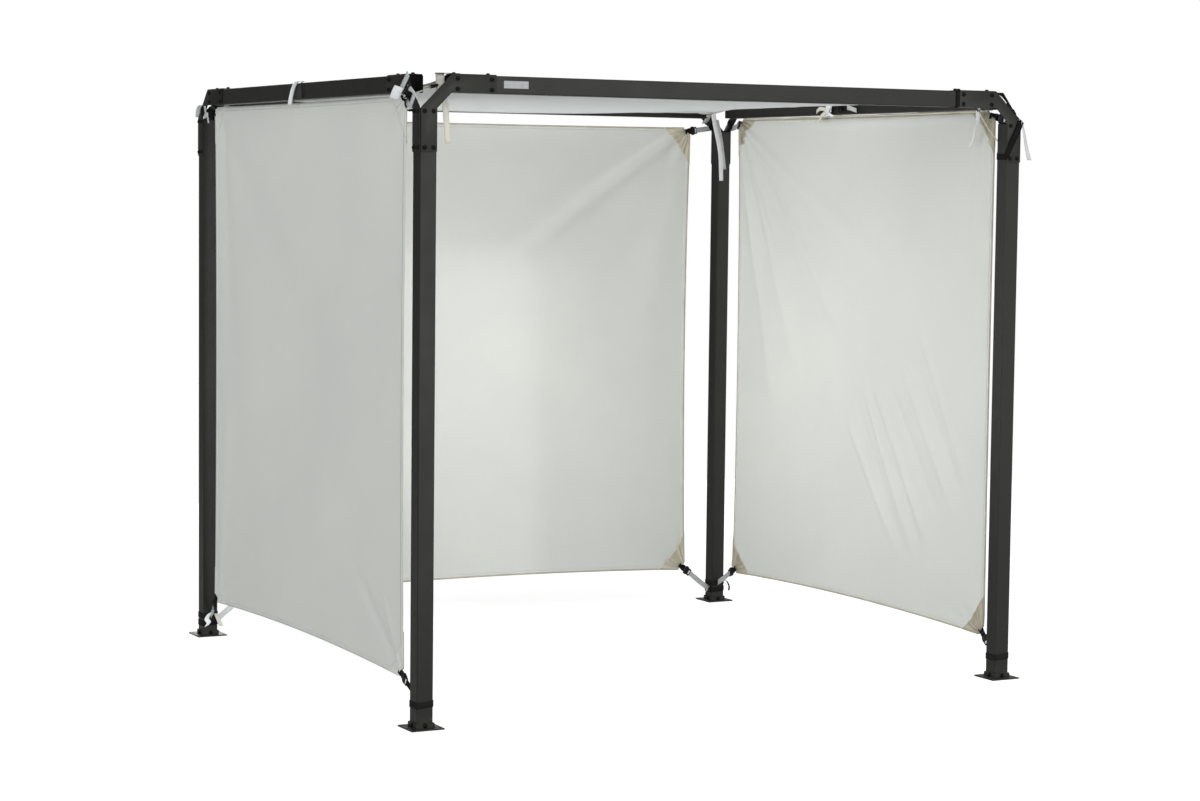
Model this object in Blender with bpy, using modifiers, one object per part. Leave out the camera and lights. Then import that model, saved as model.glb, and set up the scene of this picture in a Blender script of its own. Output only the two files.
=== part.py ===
# Garden gazebo: a square-tube steel frame with cut-back corners, angled
# corner plates, and four fabric sheets laced to it with buckled straps.
# Metres, +Z up, ground at Z = 0, open front facing -Y.

import math

import bmesh
import bpy
from mathutils import Matrix, Vector

# Overall frame
WIDTH = 2.44
DEPTH = 2.20
HEIGHT = 2.20
TUBE = 0.060
TUBE_ROUND = 0.003
FIT = 0.0003

# Corner plates, measured from the frame's outer corner and from its top
PLATE = 0.003
PLATE_INSET = 0.004
CORNER_CUT = 0.118
BEAM_LEG = 0.280
POST_LEG = 0.262
ARM_WIDTH = 0.043

# Feet
FOOT_SIZE = 0.120
FOOT_THICK = 0.005
COLLAR_WALL = 0.004
COLLAR_HEIGHT = 0.016
ANCHOR_HOLE = 0.006
ANCHOR_INSET = 0.013

# Fabric sheets: gaps run from a post's inner face to a sheet's corner, and
# dips are how far an edge bows inwards between its corners
CLOTH = 0.003
CORNER_BLUNT = 0.036
EDGE_POINTS = 9
SHEET_BOTTOM = 0.145
SIDE_TOP = 2.130
BACK_TOP = 2.096
LEFT_FRONT_GAP = 0.125
LEFT_BACK_GAP = 0.055
RIGHT_FRONT_GAP = 0.055
RIGHT_BACK_GAP = 0.130
BACK_GAP = 0.125
ROOF_LEVEL = 2.153
ROOF_GAP = 0.055
BOTTOM_DIP = 0.022
UPRIGHT_DIP = 0.014
TOP_DIP = 0.004
ROOF_DIP = 0.034

# Straps
WEB_WIDTH = 0.022
WEB_THICK = 0.002
BUCKLE_LONG = 0.050
BUCKLE_WIDE = 0.030
BUCKLE_DEEP = 0.011
ARM_SLIDE = 0.062
FOOT_LOOP_LEVEL = 0.054
LOOP_STEP = 0.030
ROOF_ARM_SLIDE = 0.096
ROOF_FLANK_CORNER = "front_left"
ROOF_POST_CORNER = "front_right"
ROOF_LOOP_LEVEL = 2.022

# Shaping
BEVEL_STEPS = 2
SHARP_ANGLE = math.radians(50)
HOLE_SIDES = 20

CHARCOAL = (0.045, 0.047, 0.048)
OFF_WHITE = (0.72, 0.73, 0.71)
BLACK = (0.012, 0.012, 0.013)

CORNERS = {
    "front_left": (-1, -1),
    "front_right": (1, -1),
    "back_left": (-1, 1),
    "back_right": (1, 1),
}

for old in list(bpy.data.objects):
    bpy.data.objects.remove(old, do_unlink=True)

parts = bpy.data.collections.new("garden_gazebo")
bpy.context.scene.collection.children.link(parts)


def finish_material(name, colour, roughness, metallic):
    material = bpy.data.materials.new(name)
    material.use_nodes = True
    shader = material.node_tree.nodes["Principled BSDF"]
    shader.inputs["Base Color"].default_value = (*colour, 1.0)
    shader.inputs["Roughness"].default_value = roughness
    shader.inputs["Metallic"].default_value = metallic
    return material


def painted_steel(name):
    return finish_material(name + "_paint", CHARCOAL, 0.45, 0.35)


def cloth(name):
    return finish_material(name + "_cloth", OFF_WHITE, 0.9, 0.0)


def webbing(name):
    return finish_material(name + "_webbing", BLACK, 0.6, 0.0)


def add_part(name, mesh, material):
    mesh.name = name
    part = bpy.data.objects.new(name, mesh)
    parts.objects.link(part)
    mesh.materials.clear()
    mesh.materials.append(material)
    return part


def round_edges(part, width):
    bevel = part.modifiers.new("rounded_edges", "BEVEL")
    bevel.width = width
    bevel.segments = BEVEL_STEPS
    bevel.limit_method = "ANGLE"
    part.data.shade_smooth()
    part.data.set_sharp_from_angle(angle=SHARP_ANGLE)


def box_bmesh(low, high):
    shape = bmesh.new()
    bmesh.ops.create_cube(shape, size=1.0)
    low, high = Vector(low), Vector(high)
    size = high - low
    bmesh.ops.scale(shape, vec=size, verts=shape.verts)
    bmesh.ops.translate(shape, vec=(low + high) / 2, verts=shape.verts)
    return shape


def mesh_from(shape, name):
    mesh = bpy.data.meshes.new(name)
    shape.to_mesh(mesh)
    shape.free()
    return mesh


def box_mesh(name, low, high):
    return mesh_from(box_bmesh(low, high), name)


def loose_object(mesh):
    helper = bpy.data.objects.new(mesh.name, mesh)
    bpy.context.scene.collection.objects.link(helper)
    return helper


def combined(name, base_mesh, tools):
    """Joins or cuts a mesh with (operation, mesh) pairs."""
    base = loose_object(base_mesh)
    helpers = []
    for operation, tool_mesh in tools:
        helper = loose_object(tool_mesh)
        helpers.append(helper)
        change = base.modifiers.new(operation.lower(), "BOOLEAN")
        change.operation = operation
        change.solver = "EXACT"
        change.object = helper
    seen = base.evaluated_get(bpy.context.evaluated_depsgraph_get())
    result = bpy.data.meshes.new_from_object(seen)
    result.name = name
    for helper in [base, *helpers]:
        bpy.data.objects.remove(helper, do_unlink=True)
    return result


def extruded_outline(name, points, thickness):
    """A flat outline in the XY plane, thickened along Z about zero."""
    curve = bpy.data.curves.new(name, "CURVE")
    curve.dimensions = "2D"
    curve.fill_mode = "BOTH"
    curve.extrude = thickness / 2
    spline = curve.splines.new("POLY")
    spline.points.add(len(points) - 1)
    for place, (x, y) in zip(spline.points, points):
        place.co = (x, y, 0.0, 1.0)
    spline.use_cyclic_u = True
    holder = loose_object(curve)
    seen = holder.evaluated_get(bpy.context.evaluated_depsgraph_get())
    mesh = bpy.data.meshes.new_from_object(seen)
    bpy.data.objects.remove(holder, do_unlink=True)
    shape = bmesh.new()
    shape.from_mesh(mesh)
    bmesh.ops.remove_doubles(shape, verts=shape.verts, dist=0.00005)
    bmesh.ops.recalc_face_normals(shape, faces=shape.faces)
    shape.to_mesh(mesh)
    shape.free()
    return mesh


def set_in_place(mesh, matrix):
    mesh.transform(matrix)
    if matrix.determinant() < 0:
        mesh.flip_normals()
    return mesh


def corner_axes(corner, side):
    """Matrix from (along beam, up, inward) at a frame corner to the world.

    side is "end" for the front and back faces, "flank" for left and right.
    """
    sx, sy = CORNERS[corner]
    along_x = Vector((-sx, 0, 0))
    along_y = Vector((0, -sy, 0))
    along, inward = (along_x, along_y) if side == "end" else (along_y, along_x)
    matrix = Matrix.Identity(4)
    for column, axis in enumerate((along, Vector((0, 0, 1)), inward)):
        for row in range(3):
            matrix[row][column] = axis[row]
    matrix.translation = Vector((sx * WIDTH / 2, sy * DEPTH / 2, 0))
    return matrix


def post_centre(corner):
    sx, sy = CORNERS[corner]
    inset = PLATE + FIT + TUBE / 2
    return Vector((sx * (WIDTH / 2 - inset), sy * (DEPTH / 2 - inset), 0))


BEAM_TOP = HEIGHT - PLATE - FIT
BEAM_LOW = BEAM_TOP - TUBE
POST_TOP = HEIGHT - CORNER_CUT - FIT
POST_LOW = FOOT_THICK + FIT


def make_post(corner):
    name = "post_" + corner
    middle = post_centre(corner)
    half = Vector((TUBE / 2, TUBE / 2, 0))
    low = middle - half + Vector((0, 0, POST_LOW))
    high = middle + half + Vector((0, 0, POST_TOP))
    post = add_part(name, box_mesh(name, low, high), painted_steel(name))
    round_edges(post, TUBE_ROUND)


def make_foot(corner):
    """A ground plate with four anchor holes and a low collar for the post."""
    name = "foot_" + corner
    middle = post_centre(corner)
    half = FOOT_SIZE / 2
    plate = box_mesh(name, middle - Vector((half, half, 0)),
                     middle + Vector((half, half, FOOT_THICK)))
    hole = TUBE / 2 + FIT
    outer = hole + COLLAR_WALL
    collar_top = FOOT_THICK + COLLAR_HEIGHT
    block = box_mesh("collar", middle - Vector((outer, outer, -FOOT_THICK / 2)),
                     middle + Vector((outer, outer, collar_top)))
    socket = box_mesh("socket", middle - Vector((hole, hole, -FOOT_THICK)),
                      middle + Vector((hole, hole, collar_top + FOOT_THICK)))
    tools = [("UNION", block), ("DIFFERENCE", socket)]
    reach = half - ANCHOR_INSET
    through = FOOT_THICK * 4
    for sx in (-1, 1):
        for sy in (-1, 1):
            drill = bmesh.new()
            bmesh.ops.create_cone(drill, cap_ends=True, segments=HOLE_SIDES,
                                  radius1=ANCHOR_HOLE, radius2=ANCHOR_HOLE,
                                  depth=through)
            spot = middle + Vector((sx * reach, sy * reach, 0))
            bmesh.ops.translate(drill, vec=spot, verts=drill.verts)
            tools.append(("DIFFERENCE", mesh_from(drill, "anchor_hole")))
    add_part(name, combined(name, plate, tools), painted_steel(name))


def make_beam(name, axis, side):
    """A beam along one side, stopping short of both cut-back corners."""
    face = PLATE + FIT
    length = (WIDTH if axis == "x" else DEPTH) / 2 - CORNER_CUT - FIT
    across = (DEPTH if axis == "x" else WIDTH) / 2
    near, far = across - face, across - face - TUBE
    low_side, high_side = sorted((side * near, side * far))
    if axis == "x":
        low, high = (-length, low_side, BEAM_LOW), (length, high_side, BEAM_TOP)
    else:
        low, high = (low_side, -length, BEAM_LOW), (high_side, length, BEAM_TOP)
    beam = add_part(name, box_mesh(name, low, high), painted_steel(name))
    round_edges(beam, TUBE_ROUND)


def plate_outline():
    """Corner plate: post leg, slanting arm and beam leg, as (along, up)."""
    slant = ARM_WIDTH * math.sqrt(2)
    plate_right = PLATE + FIT + TUBE
    arm_foot = HEIGHT - CORNER_CUT + PLATE_INSET
    inner_foot = HEIGHT - CORNER_CUT - slant + plate_right
    inner_head = CORNER_CUT + slant + BEAM_LOW - HEIGHT
    return [
        (PLATE_INSET, HEIGHT - POST_LEG),
        (plate_right, HEIGHT - POST_LEG),
        (plate_right, inner_foot),
        (inner_head, BEAM_LOW),
        (BEAM_LEG, BEAM_LOW),
        (BEAM_LEG, HEIGHT),
        (CORNER_CUT, HEIGHT),
        (PLATE_INSET, arm_foot),
    ]


def make_corner_plate(corner, side):
    """The slanting plate bolted over one outer face, with its top flange."""
    name = "corner_plate_" + corner + ("_end" if side == "end" else "_side")
    sheet = extruded_outline(name, plate_outline(), PLATE)
    sheet.transform(Matrix.Translation((0, 0, PLATE / 2)))
    flange = box_mesh("flange", (CORNER_CUT, HEIGHT - PLATE, PLATE / 2),
                      (BEAM_LEG, HEIGHT, PLATE + FIT + TUBE))
    mesh = combined(name, sheet, [("UNION", flange)])
    set_in_place(mesh, corner_axes(corner, side))
    add_part(name, mesh, painted_steel(name))


def sheet_outline(corners, dips):
    """A four-cornered cloth outline: blunt corners, edges bowed inwards."""
    count = len(corners)
    middle = sum((Vector(c) for c in corners), Vector((0, 0))) / count
    points = []
    for index, corner in enumerate(corners):
        here = Vector(corner)
        there = Vector(corners[(index + 1) % count])
        run = (there - here).normalized()
        inward = (middle - here) - run * (middle - here).dot(run)
        inward.normalize()
        start = here + run * CORNER_BLUNT
        end = there - run * CORNER_BLUNT
        for step in range(EDGE_POINTS):
            part_way = step / (EDGE_POINTS - 1)
            bow = dips[index] * 4 * part_way * (1 - part_way)
            points.append(tuple(start.lerp(end, part_way) + inward * bow))
    return points


def make_sheet(name, corners, dips, frame_matrix):
    mesh = extruded_outline(name, sheet_outline(corners, dips), CLOTH)
    set_in_place(mesh, frame_matrix)
    add_part(name, mesh, cloth(name))


TUBE_MIDDLE = PLATE + FIT + TUBE / 2
TUBE_INNER = PLATE + FIT + TUBE


def wall_matrix(axis, side):
    """Matrix from (along wall, up) to the wall's plane through the tubes."""
    matrix = Matrix.Identity(4)
    if axis == "x":
        columns = (Vector((1, 0, 0)), Vector((0, 0, 1)), Vector((0, -1, 0)))
        place = Vector((0, side * (DEPTH / 2 - TUBE_MIDDLE), 0))
    else:
        columns = (Vector((0, 1, 0)), Vector((0, 0, 1)), Vector((1, 0, 0)))
        place = Vector((side * (WIDTH / 2 - TUBE_MIDDLE), 0, 0))
    for column, direction in enumerate(columns):
        for row in range(3):
            matrix[row][column] = direction[row]
    matrix.translation = place
    return matrix


HALF_ROOM_X = WIDTH / 2 - TUBE_INNER
HALF_ROOM_Y = DEPTH / 2 - TUBE_INNER
WALL_DIPS = (BOTTOM_DIP, UPRIGHT_DIP, TOP_DIP, UPRIGHT_DIP)


def wall_corners(low_end, high_end, top):
    return [(low_end, SHEET_BOTTOM), (high_end, SHEET_BOTTOM),
            (high_end, top), (low_end, top)]


def make_sheets():
    left = wall_corners(LEFT_FRONT_GAP - HALF_ROOM_Y,
                        HALF_ROOM_Y - LEFT_BACK_GAP, SIDE_TOP)
    right = wall_corners(RIGHT_FRONT_GAP - HALF_ROOM_Y,
                         HALF_ROOM_Y - RIGHT_BACK_GAP, SIDE_TOP)
    back = wall_corners(BACK_GAP - HALF_ROOM_X, HALF_ROOM_X - BACK_GAP, BACK_TOP)
    across, deep = HALF_ROOM_X - ROOF_GAP, HALF_ROOM_Y - ROOF_GAP
    roof = [(-across, -deep), (across, -deep), (across, deep), (-across, deep)]
    make_sheet("left_wall_sheet", left, WALL_DIPS, wall_matrix("y", -1))
    make_sheet("right_wall_sheet", right, WALL_DIPS, wall_matrix("y", 1))
    make_sheet("back_wall_sheet", back, WALL_DIPS, wall_matrix("x", 1))
    make_sheet("roof_sheet", roof, [ROOF_DIP] * 4,
               Matrix.Translation((0, 0, ROOF_LEVEL)))


def bar_axes(start, end, flat_side):
    """Unit vectors across, along and through the thickness of a bar."""
    run = (end - start).normalized()
    thick = Vector(flat_side) - run * Vector(flat_side).dot(run)
    thick.normalize()
    return thick.cross(run), run, thick


def turned_box(name, start, end, width, depth, flat_side):
    """A bar from start to end; flat_side is the way its thickness points."""
    length = (end - start).length
    matrix = Matrix.Identity(4)
    for column, axis in enumerate(bar_axes(start, end, flat_side)):
        for row in range(3):
            matrix[row][column] = axis[row]
    matrix.translation = (start + end) / 2
    mesh = box_mesh(name, (-width / 2, -length / 2, -depth / 2),
                    (width / 2, length / 2, depth / 2))
    mesh.transform(matrix)
    return mesh


def loop_meshes(matrix, inside_low, inside_high):
    """A flat webbing loop round a box-shaped core, along local Z."""
    wrap = Vector((WEB_THICK, WEB_THICK, 0))
    through = Vector((0, 0, WEB_WIDTH))
    low, high = Vector(inside_low), Vector(inside_high)
    outer = box_mesh("loop", low - wrap - through / 2, high + wrap + through / 2)
    hole = box_mesh("loop_hole", low - through, high + through)
    return set_in_place(outer, matrix), set_in_place(hole, matrix)


def make_strap(name, loop, start, tip, facing, flat_side):
    """Loop, webbing run and side-release buckle as one closed piece.

    start lies on the loop, tip on the sheet's blunt corner, and facing is
    the way that the blunt corner faces.
    """
    outer, hole = loop
    facing = Vector(facing).normalized()
    across, way, thick = bar_axes(start, tip, flat_side)
    skew = abs(across.dot(facing)) * WEB_WIDTH + abs(thick.dot(facing)) * WEB_THICK
    end = tip + way * (skew / 2 + FIT) / way.dot(facing)
    run = turned_box("run", start, end, WEB_WIDTH, WEB_THICK, flat_side)
    buckle_end = end - way * (WEB_WIDTH / 2)
    buckle = turned_box("buckle", buckle_end - way * BUCKLE_LONG, buckle_end,
                        BUCKLE_WIDE, BUCKLE_DEEP, flat_side)
    tools = [("UNION", run), ("UNION", buckle), ("DIFFERENCE", hole)]
    add_part(name, combined(name, outer, tools), webbing(name))


def post_loop(corner, level, over=0):
    """Webbing loop round a post at a height, and over plates that thick."""
    sx, sy = CORNERS[corner]
    half = Vector((TUBE / 2 + FIT, TUBE / 2 + FIT, 0))
    low = -half - Vector((over * (sx < 0), over * (sy < 0), 0))
    high = half + Vector((over * (sx > 0), over * (sy > 0), 0))
    matrix = Matrix.Translation(post_centre(corner) + Vector((0, 0, level)))
    return loop_meshes(matrix, low, high)


def arm_loop(corner, side, slide):
    """Webbing loop round the slanting arm of a corner plate.

    Returns the loop and the point on its inner edge; slide moves it up.
    """
    lean = 1 / math.sqrt(2)
    along = Vector((lean, lean, 0))
    out = Vector((-lean, lean, 0))
    inward = Vector((0, 0, 1))
    foot = Vector((0, HEIGHT - CORNER_CUT, PLATE / 2))
    middle = foot - out * (ARM_WIDTH / 2) + along * slide
    local = Matrix.Identity(4)
    for column, axis in enumerate((out, inward, along)):
        for row in range(3):
            local[row][column] = axis[row]
    local.translation = middle
    half = Vector((ARM_WIDTH / 2 + FIT, PLATE / 2 + FIT, 0))
    frame = corner_axes(corner, side) @ local
    edge = frame @ Vector((-half.x - WEB_THICK / 2, 0, 0))
    return loop_meshes(frame, -half, half), edge


def make_wall_straps(wall, axis, side, ends, low_gap, high_gap, top):
    """Four straps of one wall sheet; ends are its two frame corners."""
    matrix = wall_matrix(axis, side)
    half_room = HALF_ROOM_X if axis == "x" else HALF_ROOM_Y
    plate_side = "end" if axis == "x" else "flank"
    plane = Vector((0, side, 0)) if axis == "x" else Vector((side, 0, 0))
    blunt = CORNER_BLUNT / 2
    turn = matrix.to_3x3()
    level = FOOT_LOOP_LEVEL + (LOOP_STEP if axis == "y" else 0)
    for sign, corner, gap in ((-1, ends[0], low_gap), (1, ends[1], high_gap)):
        tip_along = sign * (half_room - gap - blunt)
        tip = matrix @ Vector((tip_along, top - blunt, 0))
        loop, rim = arm_loop(corner, plate_side, ARM_SLIDE)
        make_strap(wall + "_strap_top_" + corner, loop, rim, tip,
                   turn @ Vector((sign, 1, 0)), plane)
        tip = matrix @ Vector((tip_along, SHEET_BOTTOM + blunt, 0))
        loop = post_loop(corner, level)
        face = sign * (half_room - FIT - WEB_THICK / 2)
        rim = matrix @ Vector((face, level, 0))
        make_strap(wall + "_strap_low_" + corner, loop, rim, tip,
                   turn @ Vector((sign, -1, 0)), plane)


def make_roof_straps():
    """A strap to each roof corner, from an arm or from round the post."""
    reach = ROOF_GAP + CORNER_BLUNT / 2
    off = FIT + WEB_THICK / 2
    for corner, (sx, sy) in CORNERS.items():
        tip = Vector((sx * (HALF_ROOM_X - reach), sy * (HALF_ROOM_Y - reach),
                      ROOF_LEVEL))
        side = "flank" if corner == ROOF_FLANK_CORNER else "end"
        loop, rim = arm_loop(corner, side, ROOF_ARM_SLIDE)
        flat_side = (0, 0, 1)
        if corner == ROOF_POST_CORNER:
            loop = post_loop(corner, ROOF_LOOP_LEVEL, PLATE + FIT)
            rim = Vector((sx * (HALF_ROOM_X - off), sy * (HALF_ROOM_Y - off),
                          ROOF_LOOP_LEVEL))
            flat_side = (sx, sy, -1)
        make_strap("roof_strap_" + corner, loop, rim, tip, (sx, sy, 0), flat_side)


for corner_name in CORNERS:
    make_post(corner_name)
    make_foot(corner_name)
    make_corner_plate(corner_name, "end")
    make_corner_plate(corner_name, "flank")

make_beam("front_beam", "x", -1)
make_beam("back_beam", "x", 1)
make_beam("left_beam", "y", -1)
make_beam("right_beam", "y", 1)
make_sheets()
make_wall_straps("left_wall", "y", -1, ("front_left", "back_left"),
                 LEFT_FRONT_GAP, LEFT_BACK_GAP, SIDE_TOP)
make_wall_straps("right_wall", "y", 1, ("front_right", "back_right"),
                 RIGHT_FRONT_GAP, RIGHT_BACK_GAP, SIDE_TOP)
make_wall_straps("back_wall", "x", 1, ("back_left", "back_right"),
                 BACK_GAP, BACK_GAP, BACK_TOP)
make_roof_straps()
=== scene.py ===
# Looks of the garden gazebo: painted steel, bolts, plugs, stretched cloth
# with hems and corner patches, buckled straps, ribbons and tails.
# All lengths are in metres.

import math
import random

import bmesh
import bpy
import numpy as np
from mathutils import Matrix, Vector


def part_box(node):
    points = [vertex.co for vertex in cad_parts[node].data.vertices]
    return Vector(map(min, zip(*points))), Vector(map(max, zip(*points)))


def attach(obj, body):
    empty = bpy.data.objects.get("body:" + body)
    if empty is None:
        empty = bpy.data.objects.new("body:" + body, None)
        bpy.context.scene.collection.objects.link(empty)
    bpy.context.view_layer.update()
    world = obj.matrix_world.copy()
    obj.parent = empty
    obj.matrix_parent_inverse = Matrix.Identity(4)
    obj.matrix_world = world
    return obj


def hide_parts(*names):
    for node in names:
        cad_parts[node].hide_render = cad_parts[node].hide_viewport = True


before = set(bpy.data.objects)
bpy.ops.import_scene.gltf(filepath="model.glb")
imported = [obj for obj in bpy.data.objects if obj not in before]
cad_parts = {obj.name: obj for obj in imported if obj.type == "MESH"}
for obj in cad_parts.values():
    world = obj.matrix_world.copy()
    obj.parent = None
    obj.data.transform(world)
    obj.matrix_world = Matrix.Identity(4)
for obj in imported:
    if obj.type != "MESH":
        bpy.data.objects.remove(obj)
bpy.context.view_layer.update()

# Frame sizes, the same values as the steel itself
WIDTH, DEPTH, HEIGHT = 2.44, 2.20, 2.20
TUBE = 0.060
FIT = 0.0003
PLATE = 0.003
PLATE_INSET = 0.004
CORNER_CUT = 0.118
BEAM_LEG = 0.280
POST_LEG = 0.262
ARM_WIDTH = 0.043
COLLAR_WALL = 0.004
TUBE_MIDDLE = PLATE + FIT + TUBE / 2
TUBE_INNER = PLATE + FIT + TUBE
MIDDLE_X = WIDTH / 2 - TUBE_MIDDLE
MIDDLE_Y = DEPTH / 2 - TUBE_MIDDLE
HALF_ROOM_X = WIDTH / 2 - TUBE_INNER
HALF_ROOM_Y = DEPTH / 2 - TUBE_INNER
OUTER_X = WIDTH / 2 - PLATE - FIT
OUTER_Y = DEPTH / 2 - PLATE - FIT
BEAM_TOP = HEIGHT - PLATE - FIT

# Plate finish
PLATE_BEND = 0.004
OUTER_ROUND = 0.004
EDGE_ROUND = 0.0007
SOFTENED_FROM = 40

# Bolt places: along the beam from the corner, down from the top
BEAM_BOLTS_ALONG = (0.137, 0.263)
BEAM_BOLTS_DROP = (0.016, 0.051)
POST_BOLTS_ALONG = (0.0175, 0.0500)
POST_BOLTS_DROP = (0.126, 0.247)
FLANGE_BOLTS_IN = 0.034
BOLT_HEAD = 0.0068
BOLT_DOME = 0.0046
WASHER = 0.0086
WASHER_THICK = 0.0012
BOLT_SIDES = 14
COLLAR_BOLT_LEVEL = 0.013

# End plugs and the plate on the front beam
PLUG_GAP = 0.0012
PLUG_THICK = 0.0022
PLUG_STEPS = ((0.005, -0.0012), (0.012, 0.0006))
PLUG_ROUND = 0.003
PLUG_UPRIGHT = 0.002
LABEL_START = -0.912
LABEL_LONG = 0.092
LABEL_HIGH = 0.025
LABEL_LEVEL = 2.1685
LABEL_FACE = 0.0010
LABEL_BACK = 0.0001
LABEL_ROUND = 0.0003
RIVET = 0.0022
RIVET_INSET = 0.005
RIVET_FLAT = 0.45
RIVET_OUT = 0.0011

# Cloth
CLOTH = 0.0011
CORNER_BLUNT = 0.036
SHEET_BOTTOM = 0.145
SIDE_TOP = 2.130
BACK_TOP = 2.096
LEFT_GAPS = (0.125, 0.055)
RIGHT_GAPS = (0.055, 0.130)
BACK_GAPS = (0.125, 0.125)
ROOF_LEVEL = 2.153
ROOF_GAP = 0.055
BOTTOM_DIP = 0.022
UPRIGHT_DIP = 0.014
TOP_DIP = 0.004
TAUT_DIP = 0.003
ROOF_DIP = 0.034
ROOF_CORNER_LIFT = 0.022
SHEET_COLUMNS, SHEET_ROWS = 176, 184
STRIP_COLUMNS = 140
HEM_WIDE = 0.018
HEM_THICK = 0.0024
TAPE_WIDE = 0.007
TAPE_THICK = 0.0008
ROLL_THIN = 0.0022
ROLL_THICK = 0.0058
ROLL_RISE = 0.0030
ROLL_DROP = 0.020
ROLL_HALF = 0.017

# Folds: width at the root, shares of the length where they rise and fade
FOLD_ROOT = 0.35
FOLD_RISE = 0.12
FOLD_FADE = 0.55

# Short creases at the corners: first angle and fan in degrees, width by length
CREASE_FROM = 8
CREASE_FAN = 74
CREASE_WIDE = 0.075

# The long valley of the back sheet, a curve below its right top corner
VALLEY_DROP = 0.367
VALLEY_REACH = 0.645
VALLEY_BEND = 0.55
VALLEY_DEEP = -0.014
VALLEY_HALF = 0.20

# How far the roof sheet bulges, in its middle and at each edge
ROOF_BELLY = 0.026
ROOF_BACK_BULGE = 0.016
ROOF_FRONT_BULGE = 0.012
ROOF_RIGHT_BULGE = -0.019
ROOF_LEFT_BULGE = 0.006

# Corner patches: how far they reach along and up each sheet
PATCH_LEGS = {
    "left_wall_sheet": (0.14, 0.16),
    "right_wall_sheet": (0.14, 0.155),
    "back_wall_sheet": (0.135, 0.165),
    "roof_sheet": (0.16, 0.16),
}
PATCH_THICK = 0.0030
PATCH_LIFT = 0.0032
PATCH_HOLLOW = 0.10
PLEAT = 0.0011
PLEATS = 7
FACING_SHARE = 0.9
FACING_THICK = 0.0020
FACING_LIFT = -0.0012
PIPING_THICK = 0.0024
PATCH_GRID = (14, 56)

# Straps
WEB_WIDTH = 0.022
WEB_THICK = 0.0018
SLOT_THICK = WEB_THICK * 1.6
RIBBON_THICK = WEB_THICK * 0.8
BAND_THICK = WEB_THICK * 0.7
BUCKLE_LONG = 0.050
BUCKLE_WIDE = 0.030
BUCKLE_DEEP = 0.011
BUCKLE_BACK = 0.008
BUCKLE_LEAN = 0.10
WEB_LAP = 0.006
WEB_END = 0.003
WEB_SLACK = 0.004
SLOT_WIDE = BUCKLE_WIDE * 0.62
SLOT_TURN = ((0.002, 0), (0.007, 0.0006), (0.012, 0))
TAB_START = 0.014
TAB_REACH = 0.012
TAB_OPEN = (0.0034, 0.0046)
ARM_SLIDE = 0.062
FOOT_LOOP_LEVEL = 0.054
LOOP_STEP = 0.030
ROOF_ARM_SLIDE = 0.096
ROOF_SIDE_CORNER = "front_left"
ROOF_POST_CORNER = "front_right"
ROOF_LOOP_LEVEL = 2.022
POST_LOOP_ROUND = 0.004
POST_LOOP_WOBBLE = 0.003
POST_LOOP_SLANT = 0.062
ARM_LOOP_ROUND = 0.0015
ARM_LOOP_WOBBLE = 0.002
CAD_WEB_THICK = 0.002
BAND_ROUND = 0.006
BAND_WOBBLE = 0.002
BOW_AT = 0.135
TIE_AT = 0.9315

# Vertices this close are one; edges sharper than this many degrees stay sharp
SAME_PLACE = 1e-6
THREAD_WELD = 0.00001
CLOTH_WELD = 0.00002
HARD_SHARP = 35
SOFT_SHARP = 60
NEVER_SHARP = 180

# Camera
CAMERA_AT = Vector((-4.9236, -9.4685, 1.8209))
CAMERA_YAW = 0.4829
CAMERA_PITCH = 0.0766
CAMERA_ROLL = 0.0114
CAMERA_LENS = 82.46
SENSOR = 36.0

# Studio
FLOOR_HALF = 5.5
FLOOR_GLOW = 0.62
ROOM_LIGHT = 0.50
ROOM_SHADE = 0.20
ROOM_SHADE_WAY = (-0.5, 0.866, 0.0)
FRONT_LIGHT = 0.88
FRONT_WAY = (-0.15, -0.95, 0.25)
WHITE = (1.0, 1.0, 1.0)

CORNERS = {
    "front_left": (-1, -1),
    "front_right": (1, -1),
    "back_left": (-1, 1),
    "back_right": (1, 1),
}
X_WAY, Y_WAY, UP = Vector((1, 0, 0)), Vector((0, 1, 0)), Vector((0, 0, 1))


# Materials

def blank_finish(name, colour, roughness, specular=0.5, more=()):
    """A material with its plain values on the shader's own sockets."""
    material = bpy.data.materials.new(name)
    material.use_nodes = True
    shader = material.node_tree.nodes["Principled BSDF"]
    plain = {"Base Color": (*colour, 1), "Roughness": roughness,
             "Specular IOR Level": specular, **dict(more)}
    for socket, value in plain.items():
        shader.inputs[socket].default_value = value
    return material, material.node_tree


def wire(tree, value, socket):
    """Links a pattern to a socket, or gives the socket a plain value."""
    if isinstance(value, bpy.types.NodeSocket):
        tree.links.new(value, socket)
    else:
        socket.default_value = (*value, 1) if socket.type == "RGBA" else value


def add_node(tree, kind, values=(), **settings):
    """A node with its settings, then its sockets, each a value or a pattern."""
    made = tree.nodes.new(kind)
    for setting, value in settings.items():
        setattr(made, setting, value)
    for socket, value in dict(values).items():
        wire(tree, value, made.inputs[socket])
    return made


def object_coords(tree, stretch=(1, 1, 1)):
    """Object coordinates, stretched for streaks that run one way."""
    source = add_node(tree, "ShaderNodeTexCoord").outputs["Object"]
    return add_node(tree, "ShaderNodeMapping",
                    {"Vector": source, "Scale": stretch}).outputs["Vector"]


def surface_coords(tree, stretch=(1, 1, 1)):
    """The piece's own UV map, in metres along and across the cloth."""
    source = add_node(tree, "ShaderNodeUVMap", uv_map="metres").outputs["UV"]
    return add_node(tree, "ShaderNodeMapping",
                    {"Vector": source, "Scale": stretch}).outputs["Vector"]


def split(tree, where):
    return add_node(tree, "ShaderNodeSeparateXYZ", {"Vector": where}).outputs


def noise(tree, where, scale, detail=2.0, roughness=0.5):
    return add_node(tree, "ShaderNodeTexNoise",
                    {"Vector": where, "Scale": scale, "Detail": detail,
                     "Roughness": roughness}).outputs["Fac"]


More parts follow.
